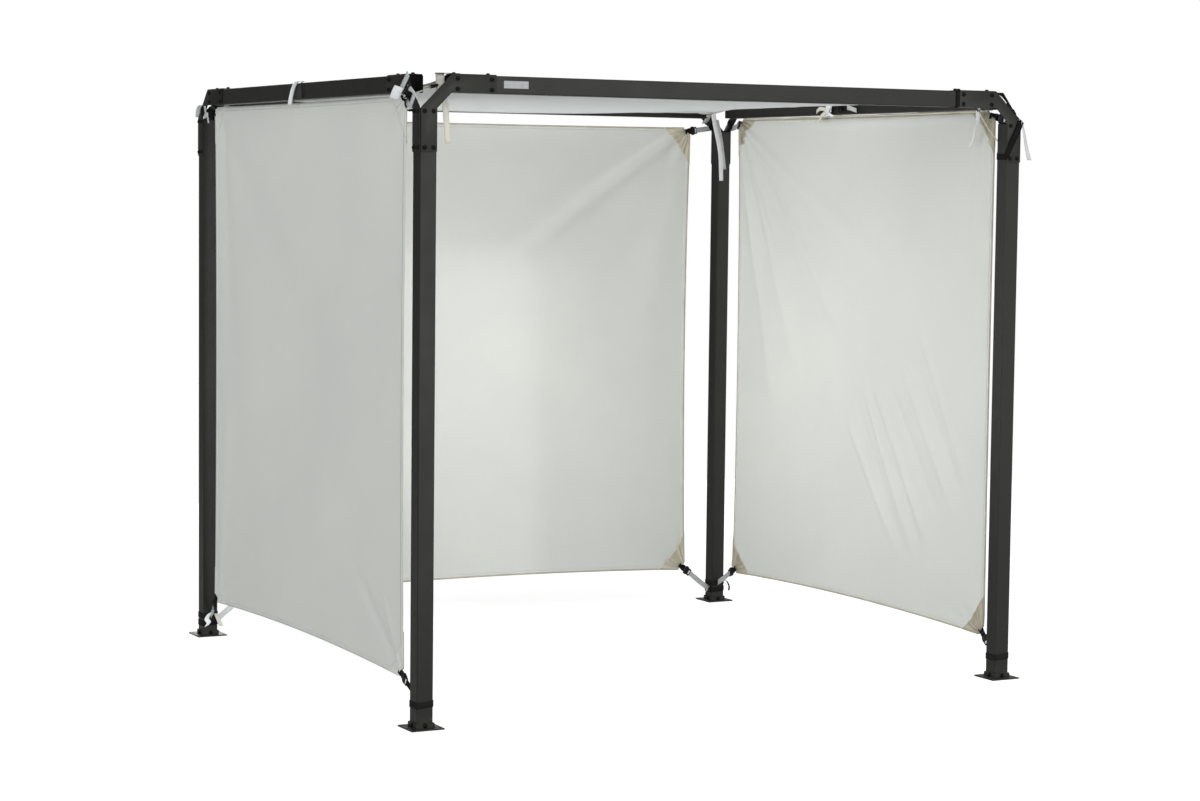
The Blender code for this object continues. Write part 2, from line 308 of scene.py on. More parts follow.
def bands(tree, where, scale, direction, distortion=0.0):
    return add_node(tree, "ShaderNodeTexWave",
                    {"Vector": where, "Scale": scale, "Distortion": distortion,
                     "Detail Scale": 1.5},
                    bands_direction=direction, wave_profile="SIN").outputs["Fac"]


def blend_colours(tree, factor, first, second):
    return add_node(tree, "ShaderNodeMix", {0: factor, 6: first, 7: second},
                    data_type="RGBA").outputs[2]


def ramp(tree, factor, low, high, from_value=0.0, to_value=1.0):
    return add_node(tree, "ShaderNodeMapRange",
                    {"Value": factor, "From Min": low, "From Max": high,
                     "To Min": from_value, "To Max": to_value}).outputs["Result"]


def spread_out(tree, factor, from_value=0.0, to_value=1.0):
    """The middle of a noise, where most of it lies, spread over a full range."""
    return ramp(tree, factor, 0.3, 0.7, from_value, to_value)


def combine(tree, operation, first, second):
    return add_node(tree, "ShaderNodeMath", {0: first, 1: second},
                    operation=operation).outputs["Value"]


def crossed_threads(tree, where, rate):
    """Warp and weft, both at one rate."""
    return combine(tree, "ADD", bands(tree, where, rate, "X"), bands(tree, where, rate, "Y"))


def dress_finish(material, colour, heights, roughness=None):
    """Wires patterns into a material: its colour, roughness and normal.

    heights are (pattern, strength, distance), chained in their order.
    """
    tree = material.node_tree
    sockets = tree.nodes["Principled BSDF"].inputs
    wire(tree, colour, sockets["Base Color"])
    if roughness is not None:
        wire(tree, roughness, sockets["Roughness"])
    normal = None
    for height, strength, distance in heights:
        values = {"Height": height, "Strength": strength, "Distance": distance}
        if normal is not None:
            values["Normal"] = normal
        normal = add_node(tree, "ShaderNodeBump", values).outputs["Normal"]
    wire(tree, normal, sockets["Normal"])
    return material


def make_powder_coat():
    """Charcoal powder coat: orange peel, faint mottling, dust near the ground."""
    material, tree = blank_finish("charcoal_powder_coat", (0.011, 0.011, 0.01), 0.42, 0.24)
    where = object_coords(tree)
    base = blend_colours(tree, spread_out(tree, noise(tree, where, 3.0, 4.0)),
                         (0.0086, 0.0086, 0.0072), (0.0104, 0.0103, 0.0089))
    streaks = noise(tree, object_coords(tree, (70, 70, 3)), 1.0, 5.0, 0.65)
    scuffs = ramp(tree, streaks, 0.66, 0.82, 0.0, 0.35)
    scuffed = blend_colours(tree, scuffs, base, (0.030, 0.030, 0.027))
    low_down = ramp(tree, split(tree, where)["Z"], 0.06, 0.0, 0.0, 0.35)
    dust = combine(tree, "MULTIPLY", low_down, noise(tree, where, 40.0, 4.0))
    dusty = blend_colours(tree, dust, scuffed, (0.06, 0.058, 0.052))
    gloss = spread_out(tree, noise(tree, where, 14.0, 3.0), 0.40, 0.47)
    return dress_finish(material, dusty, [(noise(tree, where, 520.0, 1.0), 0.14, 0.0004),
                                          (noise(tree, where, 9.0), 0.05, 0.0020)], gloss)


def make_bolt_steel():
    """Black zinc, worn a little paler in spots."""
    material, tree = blank_finish("black_zinc_bolt", (0.004, 0.004, 0.004), 0.42, 0.12)
    where = object_coords(tree)
    wear = ramp(tree, noise(tree, where, 220.0, 3.0), 0.45, 0.75)
    worn = blend_colours(tree, wear, (0.0018, 0.0018, 0.0018), (0.010, 0.010, 0.009))
    gloss = spread_out(tree, noise(tree, where, 90.0), 0.36, 0.52)
    return dress_finish(material, worn, [(noise(tree, where, 900.0), 0.15, 0.0002)], gloss)


def make_moulded_plastic(name, dark, light, specular):
    """Dark moulded plastic, fine-grained and faintly clouded."""
    material, tree = blank_finish(name, light, 0.42, specular)
    where = object_coords(tree)
    cloud = noise(tree, where, 60.0, 3.0)
    return dress_finish(material, blend_colours(tree, cloud, dark, light),
                        [(noise(tree, where, 1400.0, 1.0), 0.20, 0.0002)],
                        spread_out(tree, cloud, 0.38, 0.52))


def make_cloth(name, light, shade, weave_strength):
    """Off-white woven polyester with soft cloudy tone and fine threads."""
    material, tree = blank_finish(name, light, 0.82, 0.18,
                                  {"Sheen Weight": 0.12, "Sheen Roughness": 0.5})
    where = surface_coords(tree)
    cloud = noise(tree, where, 1.6, 5.0, 0.55)
    slubs = noise(tree, surface_coords(tree, (14, 260, 1)), 1.0)
    warp = noise(tree, surface_coords(tree, (260, 14, 1)), 1.0)
    tone = combine(tree, "ADD", combine(tree, "MULTIPLY", cloud, 0.7),
                   combine(tree, "MULTIPLY", combine(tree, "ADD", slubs, warp), 0.15))
    colour = blend_colours(tree, ramp(tree, tone, 0.32, 0.68), shade, light)
    puckers = noise(tree, surface_coords(tree, (1.0, 0.6, 1)), 16.0, 4.0, 0.6)
    return dress_finish(material, colour,
                        [(crossed_threads(tree, where, 260.0), weave_strength, 0.0002),
                         (puckers, 0.25, 0.004)], spread_out(tree, cloud, 0.74, 0.88))


def make_hem_cloth(name, dark, light, thread, lines):
    """A folded or bound edge with rows of lockstitch along it."""
    material, tree = blank_finish(name, light, 0.85, 0.15)
    where = surface_coords(tree)
    across = split(tree, where)["Y"]
    rows = None
    for line in lines:
        away = combine(tree, "ABSOLUTE", combine(tree, "SUBTRACT", across, line), 0)
        row = ramp(tree, away, 0.0010, 0.0004)
        rows = row if rows is None else combine(tree, "MAXIMUM", rows, row)
    dashes = ramp(tree, bands(tree, where, 62.0, "X"), 0.25, 0.45)
    stitches = combine(tree, "MULTIPLY", rows, dashes)
    base = blend_colours(tree, spread_out(tree, noise(tree, where, 9.0, 4.0)), dark, light)
    puckers = noise(tree, surface_coords(tree, (90, 20, 1)), 1.0)
    return dress_finish(material, blend_colours(tree, stitches, base, thread),
                        [(puckers, 0.5, 0.0010), (stitches, 0.5, 0.0006)])


def make_patch_canvas(name, dark, light, seam):
    """Reinforcing canvas, sewn down with lines that fan from its tip."""
    material, tree = blank_finish(name, light, 0.85, 0.15)
    where = surface_coords(tree)
    base = blend_colours(tree, spread_out(tree, noise(tree, where, 14.0, 4.0)), dark, light)
    place = split(tree, where)
    angle = combine(tree, "ARCTAN2", place["Y"], place["X"])
    fan = combine(tree, "SINE", combine(tree, "MULTIPLY", angle, 26.0), 0)
    seams = combine(tree, "MULTIPLY", ramp(tree, fan, 0.86, 0.99), 0.7)
    return dress_finish(material, blend_colours(tree, seams, base, seam),
                        [(crossed_threads(tree, where, 180.0), 0.5, 0.0004),
                         (fan, 0.8, 0.0018)])


def make_webbing(name, dark, light, specular=0.2):
    """Woven strap: ribs across it and picks along it."""
    material, tree = blank_finish(name, light, 0.7, specular)
    where = surface_coords(tree)
    weave = combine(tree, "MULTIPLY", bands(tree, where, 150.0, "Y"),
                    bands(tree, where, 190.0, "X", 0.6))
    cloud = noise(tree, where, 30.0, 3.0)
    tone = combine(tree, "ADD", combine(tree, "MULTIPLY", weave, 0.6),
                   combine(tree, "MULTIPLY", cloud, 0.5))
    colour = blend_colours(tree, ramp(tree, tone, 0.15, 0.8), dark, light)
    return dress_finish(material, colour, [(weave, 0.7, 0.0006), (cloud, 0.3, 0.001)])


def make_bare_plate():
    """A bare pale plate: brushed along its length, faintly stained."""
    material, tree = blank_finish("bare_label_plate", (0.3, 0.3, 0.3), 0.5, 0.2,
                                  {"Metallic": 0.1})
    grain = noise(tree, object_coords(tree, (6, 400, 400)), 1.0, 3.0)
    stain = ramp(tree, noise(tree, object_coords(tree), 30.0, 3.0), 0.5, 0.8, 0.0, 0.5)
    brushed = blend_colours(tree, grain, (0.22, 0.23, 0.23), (0.36, 0.37, 0.37))
    stained = blend_colours(tree, stain, brushed, (0.17, 0.17, 0.165))
    gloss = ramp(tree, grain, 0.2, 0.8, 0.42, 0.58)
    return dress_finish(material, stained, [(grain, 0.25, 0.0003)], gloss)


def make_studio_floor():
    """A pale floor that glows a little for the camera, as on a white sweep."""
    material, tree = blank_finish("studio_floor", (0.6, 0.6, 0.6), 0.9, 0.0,
                                  {"Emission Color": (1, 1, 1, 1)})
    sockets = tree.nodes["Principled BSDF"].inputs
    soft = noise(tree, object_coords(tree), 0.4)
    wire(tree, blend_colours(tree, soft, (0.59, 0.59, 0.59), (0.61, 0.61, 0.61)),
         sockets["Base Color"])
    seen = add_node(tree, "ShaderNodeLightPath").outputs["Is Camera Ray"]
    wire(tree, combine(tree, "MULTIPLY", seen, FLOOR_GLOW), sockets["Emission Strength"])
    return material


def make_studio_world():
    """A soft room, white to the camera: brighter in front, dimmer back left."""
    world = bpy.data.worlds.new("soft_white_room")
    world.use_nodes = True
    tree = world.node_tree
    way = add_node(tree, "ShaderNodeTexCoord").outputs["Generated"]
    back_left, front = (
        add_node(tree, "ShaderNodeVectorMath", {0: way, 1: toward},
                 operation="DOT_PRODUCT").outputs["Value"]
        for toward in (ROOM_SHADE_WAY, FRONT_WAY))
    light = combine(tree, "ADD", ramp(tree, back_left, 0.55, 0.95, ROOM_LIGHT, ROOM_SHADE),
                    ramp(tree, front, 0.0, 0.9, 0.0, FRONT_LIGHT))
    seen = add_node(tree, "ShaderNodeLightPath").outputs["Is Camera Ray"]
    background = tree.nodes["Background"].inputs
    wire(tree, combine(tree, "MAXIMUM", light, seen), background["Strength"])
    wire(tree, WHITE, background["Color"])
    return world


powder_coat = make_powder_coat()
bolt_steel = make_bolt_steel()
plastic = make_moulded_plastic("black_moulded_plastic", (0.0025, 0.0025, 0.0028),
                               (0.006, 0.006, 0.0065), 0.22)
# Near-black, dull plastic of the end plugs: partly the plugs' own black, partly painted shade of
# the hollow tube ends.
plug_plastic_painted_shade = make_moulded_plastic("end_plug_plastic", (0.0010, 0.0010, 0.0010),
                                    (0.0022, 0.0022, 0.0021), 0.04)
wall_cloth = make_cloth("wall_cloth", (0.615, 0.622, 0.590), (0.565, 0.578, 0.552), 0.12)
roof_cloth = make_cloth("roof_cloth", (0.60, 0.62, 0.625), (0.54, 0.565, 0.575), 0.12)
hem_cloth = make_hem_cloth("hem_cloth", (0.565, 0.578, 0.552), (0.615, 0.622, 0.590),
                           (0.45, 0.45, 0.42), (HEM_WIDE - 0.003,))
roll_cloth = make_hem_cloth("rolled_edge_cloth", (0.50, 0.48, 0.40), (0.62, 0.60, 0.52),
                            (0.42, 0.40, 0.32), (0.010, 0.036))
edge_tape = make_hem_cloth("khaki_edge_tape", (0.40, 0.375, 0.30), (0.54, 0.515, 0.43),
                           (0.30, 0.275, 0.21), (0.002, TAPE_WIDE - 0.002))
beige_canvas = make_patch_canvas("beige_patch_canvas", (0.37, 0.335, 0.255),
                                 (0.50, 0.465, 0.37), (0.25, 0.22, 0.155))
cream_canvas = make_patch_canvas("cream_patch_canvas", (0.48, 0.45, 0.35),
                                 (0.62, 0.59, 0.48), (0.34, 0.30, 0.21))
black_webbing = make_webbing("black_webbing", (0.002, 0.002, 0.0022),
                             (0.010, 0.010, 0.011), 0.08)
grey_webbing = make_webbing("pale_grey_webbing", (0.36, 0.37, 0.37), (0.66, 0.67, 0.68))
cream_webbing = make_webbing("cream_webbing", (0.54, 0.525, 0.45), (0.78, 0.765, 0.69))
white_ribbon = make_webbing("white_ribbon", (0.72, 0.73, 0.75), (0.88, 0.89, 0.90))
charcoal_webbing = make_webbing("charcoal_webbing", (0.005, 0.005, 0.005),
                                (0.014, 0.014, 0.013), 0.10)
bare_plate = make_bare_plate()


# Making pieces

def in_scene(name, data):
    """A new object of some data, linked to the scene."""
    made = bpy.data.objects.new(name, data)
    bpy.context.scene.collection.objects.link(made)
    return made


def finished(name, shape, material, stands_for=(), sharp=HARD_SHARP):
    """Puts a bmesh in the scene as a piece that rides with the frame."""
    mesh = bpy.data.meshes.new(name)
    shape.to_mesh(mesh)
    shape.free()
    mesh.materials.append(material)
    mesh.shade_smooth()
    mesh.set_sharp_from_angle(angle=math.radians(sharp))
    piece = in_scene(name, mesh)
    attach(piece, "root")
    if stands_for:
        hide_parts(*stands_for)
    return piece


def thicken(piece, thickness, offset=0.0):
    wall = piece.modifiers.new("thickness", "SOLIDIFY")
    wall.thickness = thickness
    wall.offset = offset
    return piece


def soft_piece(name, shape, material, thickness, stands_for=()):
    """A thin piece of cloth or webbing, given its thickness."""
    return thicken(finished(name, shape, material, stands_for, SOFT_SHARP), thickness)


def soften(piece, width, steps=2):
    edge = piece.modifiers.new("soft_edges", "BEVEL")
    edge.width = width
    edge.segments = steps
    edge.limit_method = "ANGLE"
    edge.angle_limit = math.radians(SOFTENED_FROM)


def round_off(shape, geom, offset, steps, affect="EDGES"):
    bmesh.ops.bevel(shape, geom=geom, offset=offset, segments=steps, affect=affect,
                    profile=0.5, material=-1)


def box_shape(low, high, rounding=0.0, steps=2):
    shape = bmesh.new()
    bmesh.ops.create_cube(shape, size=1.0)
    low, high = Vector(low), Vector(high)
    bmesh.ops.scale(shape, vec=high - low, verts=shape.verts)
    bmesh.ops.translate(shape, vec=(low + high) / 2, verts=shape.verts)
    if rounding:
        round_off(shape, shape.edges[:], rounding, steps)
    return shape


def cloth_shape():
    """An empty bmesh with the UV layer that the cloth materials read."""
    shape = bmesh.new()
    shape.loops.layers.uv.new("metres")
    return shape


def merged(shape, distance):
    """Welds the seams and poles of a closed shell and turns its faces outwards."""
    bmesh.ops.remove_doubles(shape, verts=shape.verts, dist=distance)
    bmesh.ops.recalc_face_normals(shape, faces=shape.faces)
    return shape


def placed(shape, matrix):
    """Moves a bmesh by a matrix; if that mirrors it, its faces are turned back."""
    shape.transform(matrix)
    if matrix.determinant() < 0:
        bmesh.ops.reverse_faces(shape, faces=shape.faces[:])
    return shape


def add_shape(whole, part, matrix=None):
    """Joins one bmesh into another, placed by a matrix."""
    if matrix is not None:
        placed(part, matrix)
    carrier = bpy.data.meshes.new("carrier")
    part.to_mesh(carrier)
    part.free()
    whole.from_mesh(carrier)
    bpy.data.meshes.remove(carrier)


def axes_matrix(x_axis, y_axis, z_axis, at):
    matrix = Matrix.Identity(4)
    for column, axis in enumerate((x_axis, y_axis, z_axis)):
        for row in range(3):
            matrix[row][column] = axis[row]
    matrix.translation = at
    return matrix


def corner_axes(corner, side):
    """From (along beam, up, inward) at a frame corner to the world."""
    sx, sy = CORNERS[corner]
    along_x, along_y = Vector((-sx, 0, 0)), Vector((0, -sy, 0))
    along, inward = (along_x, along_y) if side == "end" else (along_y, along_x)
    return axes_matrix(along, UP, inward, Vector((sx * WIDTH / 2, sy * DEPTH / 2, 0)))


def post_middle(corner):
    sx, sy = CORNERS[corner]
    return Vector((sx * MIDDLE_X, sy * MIDDLE_Y, 0))


# Steel frame

def dress_cad_steel():
    """Posts, beams and feet keep their solids and take the powder coat."""
    names = [start + corner for corner in CORNERS for start in ("post_", "foot_")]
    for name in names + ["front_beam", "back_beam", "left_beam", "right_beam"]:
        bpy.data.objects[name].material_slots[0].material = powder_coat


def bent_plate(corner, side):
    """Corner plate cut from sheet steel, its top edge folded in as a flange."""
    slant = ARM_WIDTH * math.sqrt(2)
    beam_low = BEAM_TOP - TUBE
    inner_foot = HEIGHT - CORNER_CUT - slant + TUBE_INNER
    inner_head = CORNER_CUT + slant + beam_low - HEIGHT
    outline = [
        (PLATE_INSET, HEIGHT - POST_LEG), (TUBE_INNER, HEIGHT - POST_LEG),
        (TUBE_INNER, inner_foot), (inner_head, beam_low), (BEAM_LEG, beam_low),
        (BEAM_LEG, HEIGHT), (CORNER_CUT, HEIGHT),
        (PLATE_INSET, HEIGHT - CORNER_CUT + PLATE_INSET),
    ]
    rounded = (0, 1, 4, 7)
    shape = bmesh.new()
    corners = [shape.verts.new((u, z, 0)) for u, z in outline]
    face = shape.faces.new(corners)
    face.normal_update()
    if face.normal.z > 0:
        bmesh.ops.reverse_faces(shape, faces=[face])
    round_off(shape, [corners[index] for index in rounded], OUTER_ROUND, 3, "VERTICES")

    def top_edges():
        return [edge for edge in shape.edges
                if all(abs(vert.co.y - HEIGHT) < SAME_PLACE and abs(vert.co.z) < SAME_PLACE
                       for vert in edge.verts)]

    lip = bmesh.ops.extrude_edge_only(shape, edges=top_edges())
    lip_verts = [item for item in lip["geom"] if isinstance(item, bmesh.types.BMVert)]
    bmesh.ops.translate(shape, vec=(0, 0, TUBE_INNER), verts=lip_verts)
    round_off(shape, lip_verts, OUTER_ROUND * 2, 4, "VERTICES")
    round_off(shape, top_edges(), PLATE_BEND, 4)
    ending = corner + "_" + side
    piece = finished("bent_plate_" + ending, placed(shape, corner_axes(corner, side)),
                     powder_coat, ("corner_plate_" + ending,))
    thicken(piece, PLATE, -1.0)
    soften(piece, EDGE_ROUND)


def bolt_shape():
    """Button head with a hex socket on a washer, its seat at Z = 0."""
    profile = [(WASHER, 0), (WASHER, WASHER_THICK), (BOLT_HEAD, WASHER_THICK)]
    profile += [(BOLT_HEAD * out, WASHER_THICK + BOLT_DOME * up)
                for out, up in ((0.96, 0.45), (0.74, 0.85), (0.44, 1), (0.40, 0.35), (0, 0.35))]
    shape = bmesh.new()
    line = [shape.verts.new((r, 0, z)) for r, z in profile]
    edges = [shape.edges.new(pair) for pair in zip(line, line[1:])]
    bmesh.ops.spin(shape, geom=line + edges, cent=(0, 0, 0), axis=(0, 0, 1),
                   angle=math.tau, steps=BOLT_SIDES, use_merge=True)
    return merged(shape, THREAD_WELD)


def bolt_at(whole, at, outward, chance):
    """Adds a bolt that looks outward, its socket turned by chance."""
    side = outward.orthogonal().normalized()
    side.rotate(Matrix.Rotation(chance.uniform(0, math.pi), 3, outward))
    add_shape(whole, bolt_shape(), axes_matrix(side, outward.cross(side), outward, at))


def plate_bolts(corner, side, chance):
    """Bolts of one corner plate: beam leg, post leg and top flange."""
    matrix = corner_axes(corner, side)
    outward = matrix.to_3x3() @ Vector((0, 0, -1))
    whole = bmesh.new()
    for along, drops in ((BEAM_BOLTS_ALONG, BEAM_BOLTS_DROP),
                         (POST_BOLTS_ALONG, POST_BOLTS_DROP)):
        for u in along:
            for drop in drops:
                bolt_at(whole, matrix @ Vector((u, HEIGHT - drop, 0)), outward, chance)
    for u in BEAM_BOLTS_ALONG:
        bolt_at(whole, matrix @ Vector((u, HEIGHT, FLANGE_BOLTS_IN)), UP, chance)
    finished("plate_bolts_" + corner + "_" + side, whole, bolt_steel)


def collar_bolts(corner, chance):
    """One bolt through each side of a foot's collar."""
    middle = post_middle(corner)
    whole = bmesh.new()
    off = TUBE / 2 + FIT + COLLAR_WALL
    for outward in (X_WAY, -X_WAY, Y_WAY, -Y_WAY):
        bolt_at(whole, middle + outward * off + UP * COLLAR_BOLT_LEVEL, outward, chance)
    finished("collar_bolts_" + corner, whole, bolt_steel)


def plug_shape():
    """A moulded end plug: rim, shallow dish and raised middle, seat at Z = 0."""
    half = TUBE / 2 - PLUG_GAP
    shape = box_shape((-half, -half, 0), (half, half, PLUG_THICK))
    top = max(shape.faces, key=lambda face: face.calc_center_median().z)
    for inset, rise in PLUG_STEPS:
        bmesh.ops.inset_region(shape, faces=[top], thickness=inset)
        bmesh.ops.translate(shape, vec=(0, 0, rise), verts=top.verts)
    uprights = [edge for edge in shape.edges
                if abs(edge.verts[0].co.z - edge.verts[1].co.z) > PLUG_UPRIGHT]
    round_off(shape, uprights, PLUG_ROUND, 3)
    return shape


def end_plugs():
    """Plugs in both ends of each beam and the top of each post."""
    for beam, axis in (("front_beam", 0), ("back_beam", 0),
                       ("left_beam", 1), ("right_beam", 1)):
        low, high = (Vector(end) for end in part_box(beam))
        whole = bmesh.new()
        for sign, end in ((-1, low), (1, high)):
            outward = Vector((0, 0, 0))
            outward[axis] = sign
            at = (low + high) / 2
            at[axis] = end[axis]
            add_shape(whole, plug_shape(),
                      axes_matrix(UP, outward.cross(UP), outward, at + outward * FIT))
        finished("end_plugs_" + beam, whole, plug_plastic_painted_shade)
    for corner in CORNERS:
        top = post_middle(corner) + UP * (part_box("post_" + corner)[1][2] + FIT)
        finished("end_plug_post_" + corner, placed(plug_shape(), Matrix.Translation(top)),
                 plug_plastic_painted_shade)


def label_plate():
    """A bare riveted plate on the front beam."""
    low, high = LABEL_LEVEL - LABEL_HIGH / 2, LABEL_LEVEL + LABEL_HIGH / 2
    shape = box_shape((LABEL_START, -OUTER_Y - LABEL_FACE, low),
                      (LABEL_START + LABEL_LONG, -OUTER_Y - LABEL_BACK, high))
    soften(finished("label_plate_bare", shape, bare_plate), LABEL_ROUND)
    whole = bmesh.new()
    for along in (RIVET_INSET, LABEL_LONG - RIVET_INSET):
        rivet = bmesh.new()
        bmesh.ops.create_uvsphere(rivet, u_segments=12, v_segments=8, radius=RIVET)
        bmesh.ops.scale(rivet, vec=(1, RIVET_FLAT, 1), verts=rivet.verts)
        at = Vector((LABEL_START + along, -OUTER_Y - RIVET_OUT, LABEL_LEVEL))
        add_shape(whole, rivet, Matrix.Translation(at))
    finished("label_plate_rivets", whole, bare_plate)


# Cloth sheets

class Cloth:
    """A stretched sheet: a bowed outline in a plane, lifted by its folds.

    low and high are its corners in the plane; dips bow its bottom, high-side,
    top and low-side edges inwards. inside is the way its inner face looks.
    relief gives the lift at (a, b), in metres along and up a sheet of a width
    and a height; s and t are the same place as shares of the sheet.
    """

    def __init__(self, name, low, high, dips, matrix, inside, relief):
        self.name = name
        self.low = low
        self.dips = dips
        self.matrix = matrix
        self.inside = inside
        self.relief = relief
        self.wide = high[0] - low[0]
        self.tall = high[1] - low[1]

    def flat_place(self, s, t):
        """Plane coordinates of points given as shares of the sheet."""
        bottom, right, top, left = self.dips
        across = self.low[0] + self.wide * s
        across = across + 4 * t * (1 - t) * (left * (1 - s) - right * s)
        up = self.low[1] + self.tall * t
        up = up + 4 * s * (1 - s) * (bottom * (1 - t) - top * t)
        return across, up

    def place(self, s, t, lift=0.0):
        """World points on the sheet, with lift towards its inside."""
        across, up = self.flat_place(s, t)
        out = self.relief(s * self.wide, t * self.tall, self.wide, self.tall) + lift
        local = np.stack([across, up, out * self.inside, np.ones_like(across)])
        return (np.array(self.matrix) @ local)[:3].T

    def point(self, s, t):
        return Vector(self.place(np.array([float(s)]), np.array([float(t)]))[0])

    def share(self, across, up):
        """Lengths along and up the sheet as shares of it."""
        return across / self.wide, up / self.tall


def mapped_grid(columns, rows, place, uv_size):
    """A grid whose (u, v) shares are placed by a function of two arrays."""
    shape = cloth_shape()
    uv = shape.loops.layers.uv["metres"]
    bmesh.ops.create_grid(shape, x_segments=columns, y_segments=rows, size=0.5)
    for face in shape.faces:
        for loop in face.loops:
            co = loop.vert.co
            loop[uv].uv = ((co.x + 0.5) * uv_size[0], (co.y + 0.5) * uv_size[1])
    shares = np.array([vert.co[:2] for vert in shape.verts]) + 0.5
    for vert, co in zip(shape.verts, place(shares[:, 0], shares[:, 1])):
        vert.co = co
    return shape


def smooth_step(value, low, high):
    part = np.clip((value - low) / (high - low), 0, 1)
    return part * part * (3 - 2 * part)


def fold(a, b, start, end, width, height, spread=1.0):
    """A ridge from start to end that fades at both ends and widens along it."""
    way = np.array(end, float) - np.array(start, float)
    length = float(np.hypot(*way))
    way /= length
    along = ((a - start[0]) * way[0] + (b - start[1]) * way[1]) / length
    off = (a - start[0]) * -way[1] + (b - start[1]) * way[0]
    wide = width * (FOLD_ROOT + spread * np.clip(along, 0, 1))
    ends = smooth_step(along, 0, FOLD_RISE) * (1 - smooth_step(along, FOLD_FADE, 1))
    return height * ends * np.exp(-((off / wide) ** 2))


def add_folds(total, a, b, rows):
    """Adds folds to a relief: each is start, end, width, height and any spread."""
    for row in rows:
        total = total + fold(a, b, *row)
    return total


def belly(a, b, wide, tall, height):
    return height * np.sin(math.pi * a / wide) * np.sin(math.pi * b / tall)


def corner_creases(a, b, wide, tall, seed, count=7, reach=0.38, height=0.0035):
    """Short creases that fan out from the four pulled corners."""
    chance = random.Random(seed)
    total = np.zeros_like(a)
    for corner_a, turn_a in ((0.0, 1), (wide, -1)):
        for corner_b, turn_b in ((0.0, 1), (tall, -1)):
            for step in range(count):
                turn = CREASE_FAN * (step + chance.uniform(0.2, 0.8)) / count
                angle = math.radians(CREASE_FROM + turn)
                length = reach * chance.uniform(0.45, 1.0)
                tip = (corner_a + turn_a * math.cos(angle) * length,
                       corner_b + turn_b * math.sin(angle) * length)
                size = height * chance.uniform(0.5, 1.2) * chance.choice((-1, 1))
                total += fold(a, b, (corner_a, corner_b), tip, length * CREASE_WIDE, size)
    return total


def ripple(a, b, wide, tall, waves, reach=0.10):
    """Long soft waves (across rate, up rate, phase, height), none at the outline."""
    total = sum(height * np.sin(rate_a * a + rate_b * b + phase)
                for rate_a, rate_b, phase, height in waves)
    return total * (smooth_step(a, 0, reach) * smooth_step(wide - a, 0, reach)
                    * smooth_step(b, 0, reach) * smooth_step(tall - b, 0, reach))


def top_roll(a, b, wide, tall, height, start, end):
    """The top edge rolled over between two shares of its length."""
    along = smooth_step(a / wide, start, start + 0.18)
    along = along * (1 - smooth_step(a / wide, end - 0.35, end))
    return height * along * np.exp(-(((tall - b - ROLL_DROP) / ROLL_HALF) ** 2))


def left_relief(a, b, wide, tall):
    """Left wall: a soft belly, long folds down its back edge and from corners."""
    total = belly(a, b, wide, tall, 0.020)
    total = total + corner_creases(a, b, wide, tall, 11, reach=0.20, height=0.0030)
    total = add_folds(total, a, b, (
        ((wide - 0.08, tall), (wide - 0.20, tall * 0.35), 0.08, 0.005),
        ((wide - 0.05, 0.02), (wide - 0.16, tall * 0.55), 0.06, -0.004),
        ((wide, tall), (wide * 0.35, tall * 0.45), 0.13, 0.004),
        ((0, tall), (wide * 0.40, tall * 0.50), 0.12, -0.004),
        ((0, 0), (wide * 0.30, tall * 0.20), 0.035, 0.005),
        ((0, 0), (wide * 0.12, tall * 0.16), 0.020, -0.003),
        ((wide, 0), (wide * 0.80, tall * 0.10), 0.025, 0.005)))
    return (total + top_roll(a, b, wide, tall, -0.004, 0.05, 1.1)
            + ripple(a, b, wide, tall, ((5.1, 1.3, 0.4, 0.0016), (2.2, 4.3, 1.7, 0.0014),
                                        (9.5, 2.2, 2.9, 0.0008))))


def right_relief(a, b, wide, tall):
    """Right wall: tension folds run down from its back top corner."""
    total = belly(a, b, wide, tall, 0.012) + corner_creases(a, b, wide, tall, 23)
    broad = ((0.62, 0.30, 0.070, 0.0100), (0.50, 0.16, 0.055, -0.0080),
             (0.40, 0.42, 0.050, 0.0070), (0.30, 0.22, 0.045, -0.0060),
             (0.78, 0.20, 0.040, 0.0055), (0.15, 0.58, 0.045, 0.0060))
    crisp = ((0.52, 0.55, 0.016, 0.0060), (0.64, 0.52, 0.013, -0.0045),
             (0.72, 0.45, 0.015, 0.0050), (0.84, 0.38, 0.013, 0.0040),
             (0.44, 0.70, 0.013, 0.0035), (0.62, 0.76, 0.027, 0.0130),
             (0.69, 0.70, 0.022, -0.0100), (0.76, 0.66, 0.024, 0.0120),
             (0.83, 0.62, 0.020, -0.0090), (0.90, 0.58, 0.020, 0.0095))
    for pulls, spread in ((broad, 1.0), (crisp, 1.6)):
        total = add_folds(total, a, b, [
            ((wide, tall), (wide * s, tall * t), width, height, spread)
            for s, t, width, height in pulls])
    drops = ((0.05, 0.55, 0.0035), (0.10, 0.42, -0.0035),
             (0.16, 0.62, 0.0030), (0.23, 0.35, -0.0025))
    total = add_folds(total, a, b, [
        ((along * 0.4, tall), (along, tall - drop), 0.016, height)
        for along, drop, height in drops])
    slants = ((0.52, 0.38, 0.27, 0.06, 0.0095), (0.49, 0.42, 0.25, 0.06, -0.0070),
              (0.46, 0.46, 0.22, 0.06, 0.0110), (0.43, 0.45, 0.19, 0.07, -0.0080),
              (0.40, 0.44, 0.16, 0.08, 0.0100), (0.35, 0.46, 0.11, 0.12, -0.0070),
              (0.31, 0.50, 0.06, 0.15, 0.0090), (0.28, 0.54, 0.04, 0.18, -0.0060),
              (0.25, 0.58, 0.02, 0.20, 0.0080))
    total = add_folds(total, a, b, [
        ((wide * from_s, tall * from_t), (wide * to_s, tall * to_t), 0.024, height)
        for from_s, from_t, to_s, to_t, height in slants])
    return (total + top_roll(a, b, wide, tall, 0.012, 0.0, 0.85)
            + ripple(a, b, wide, tall, ((4.1, 2.3, 0.9, 0.0015), (8.2, 1.3, 2.2, 0.0010))))


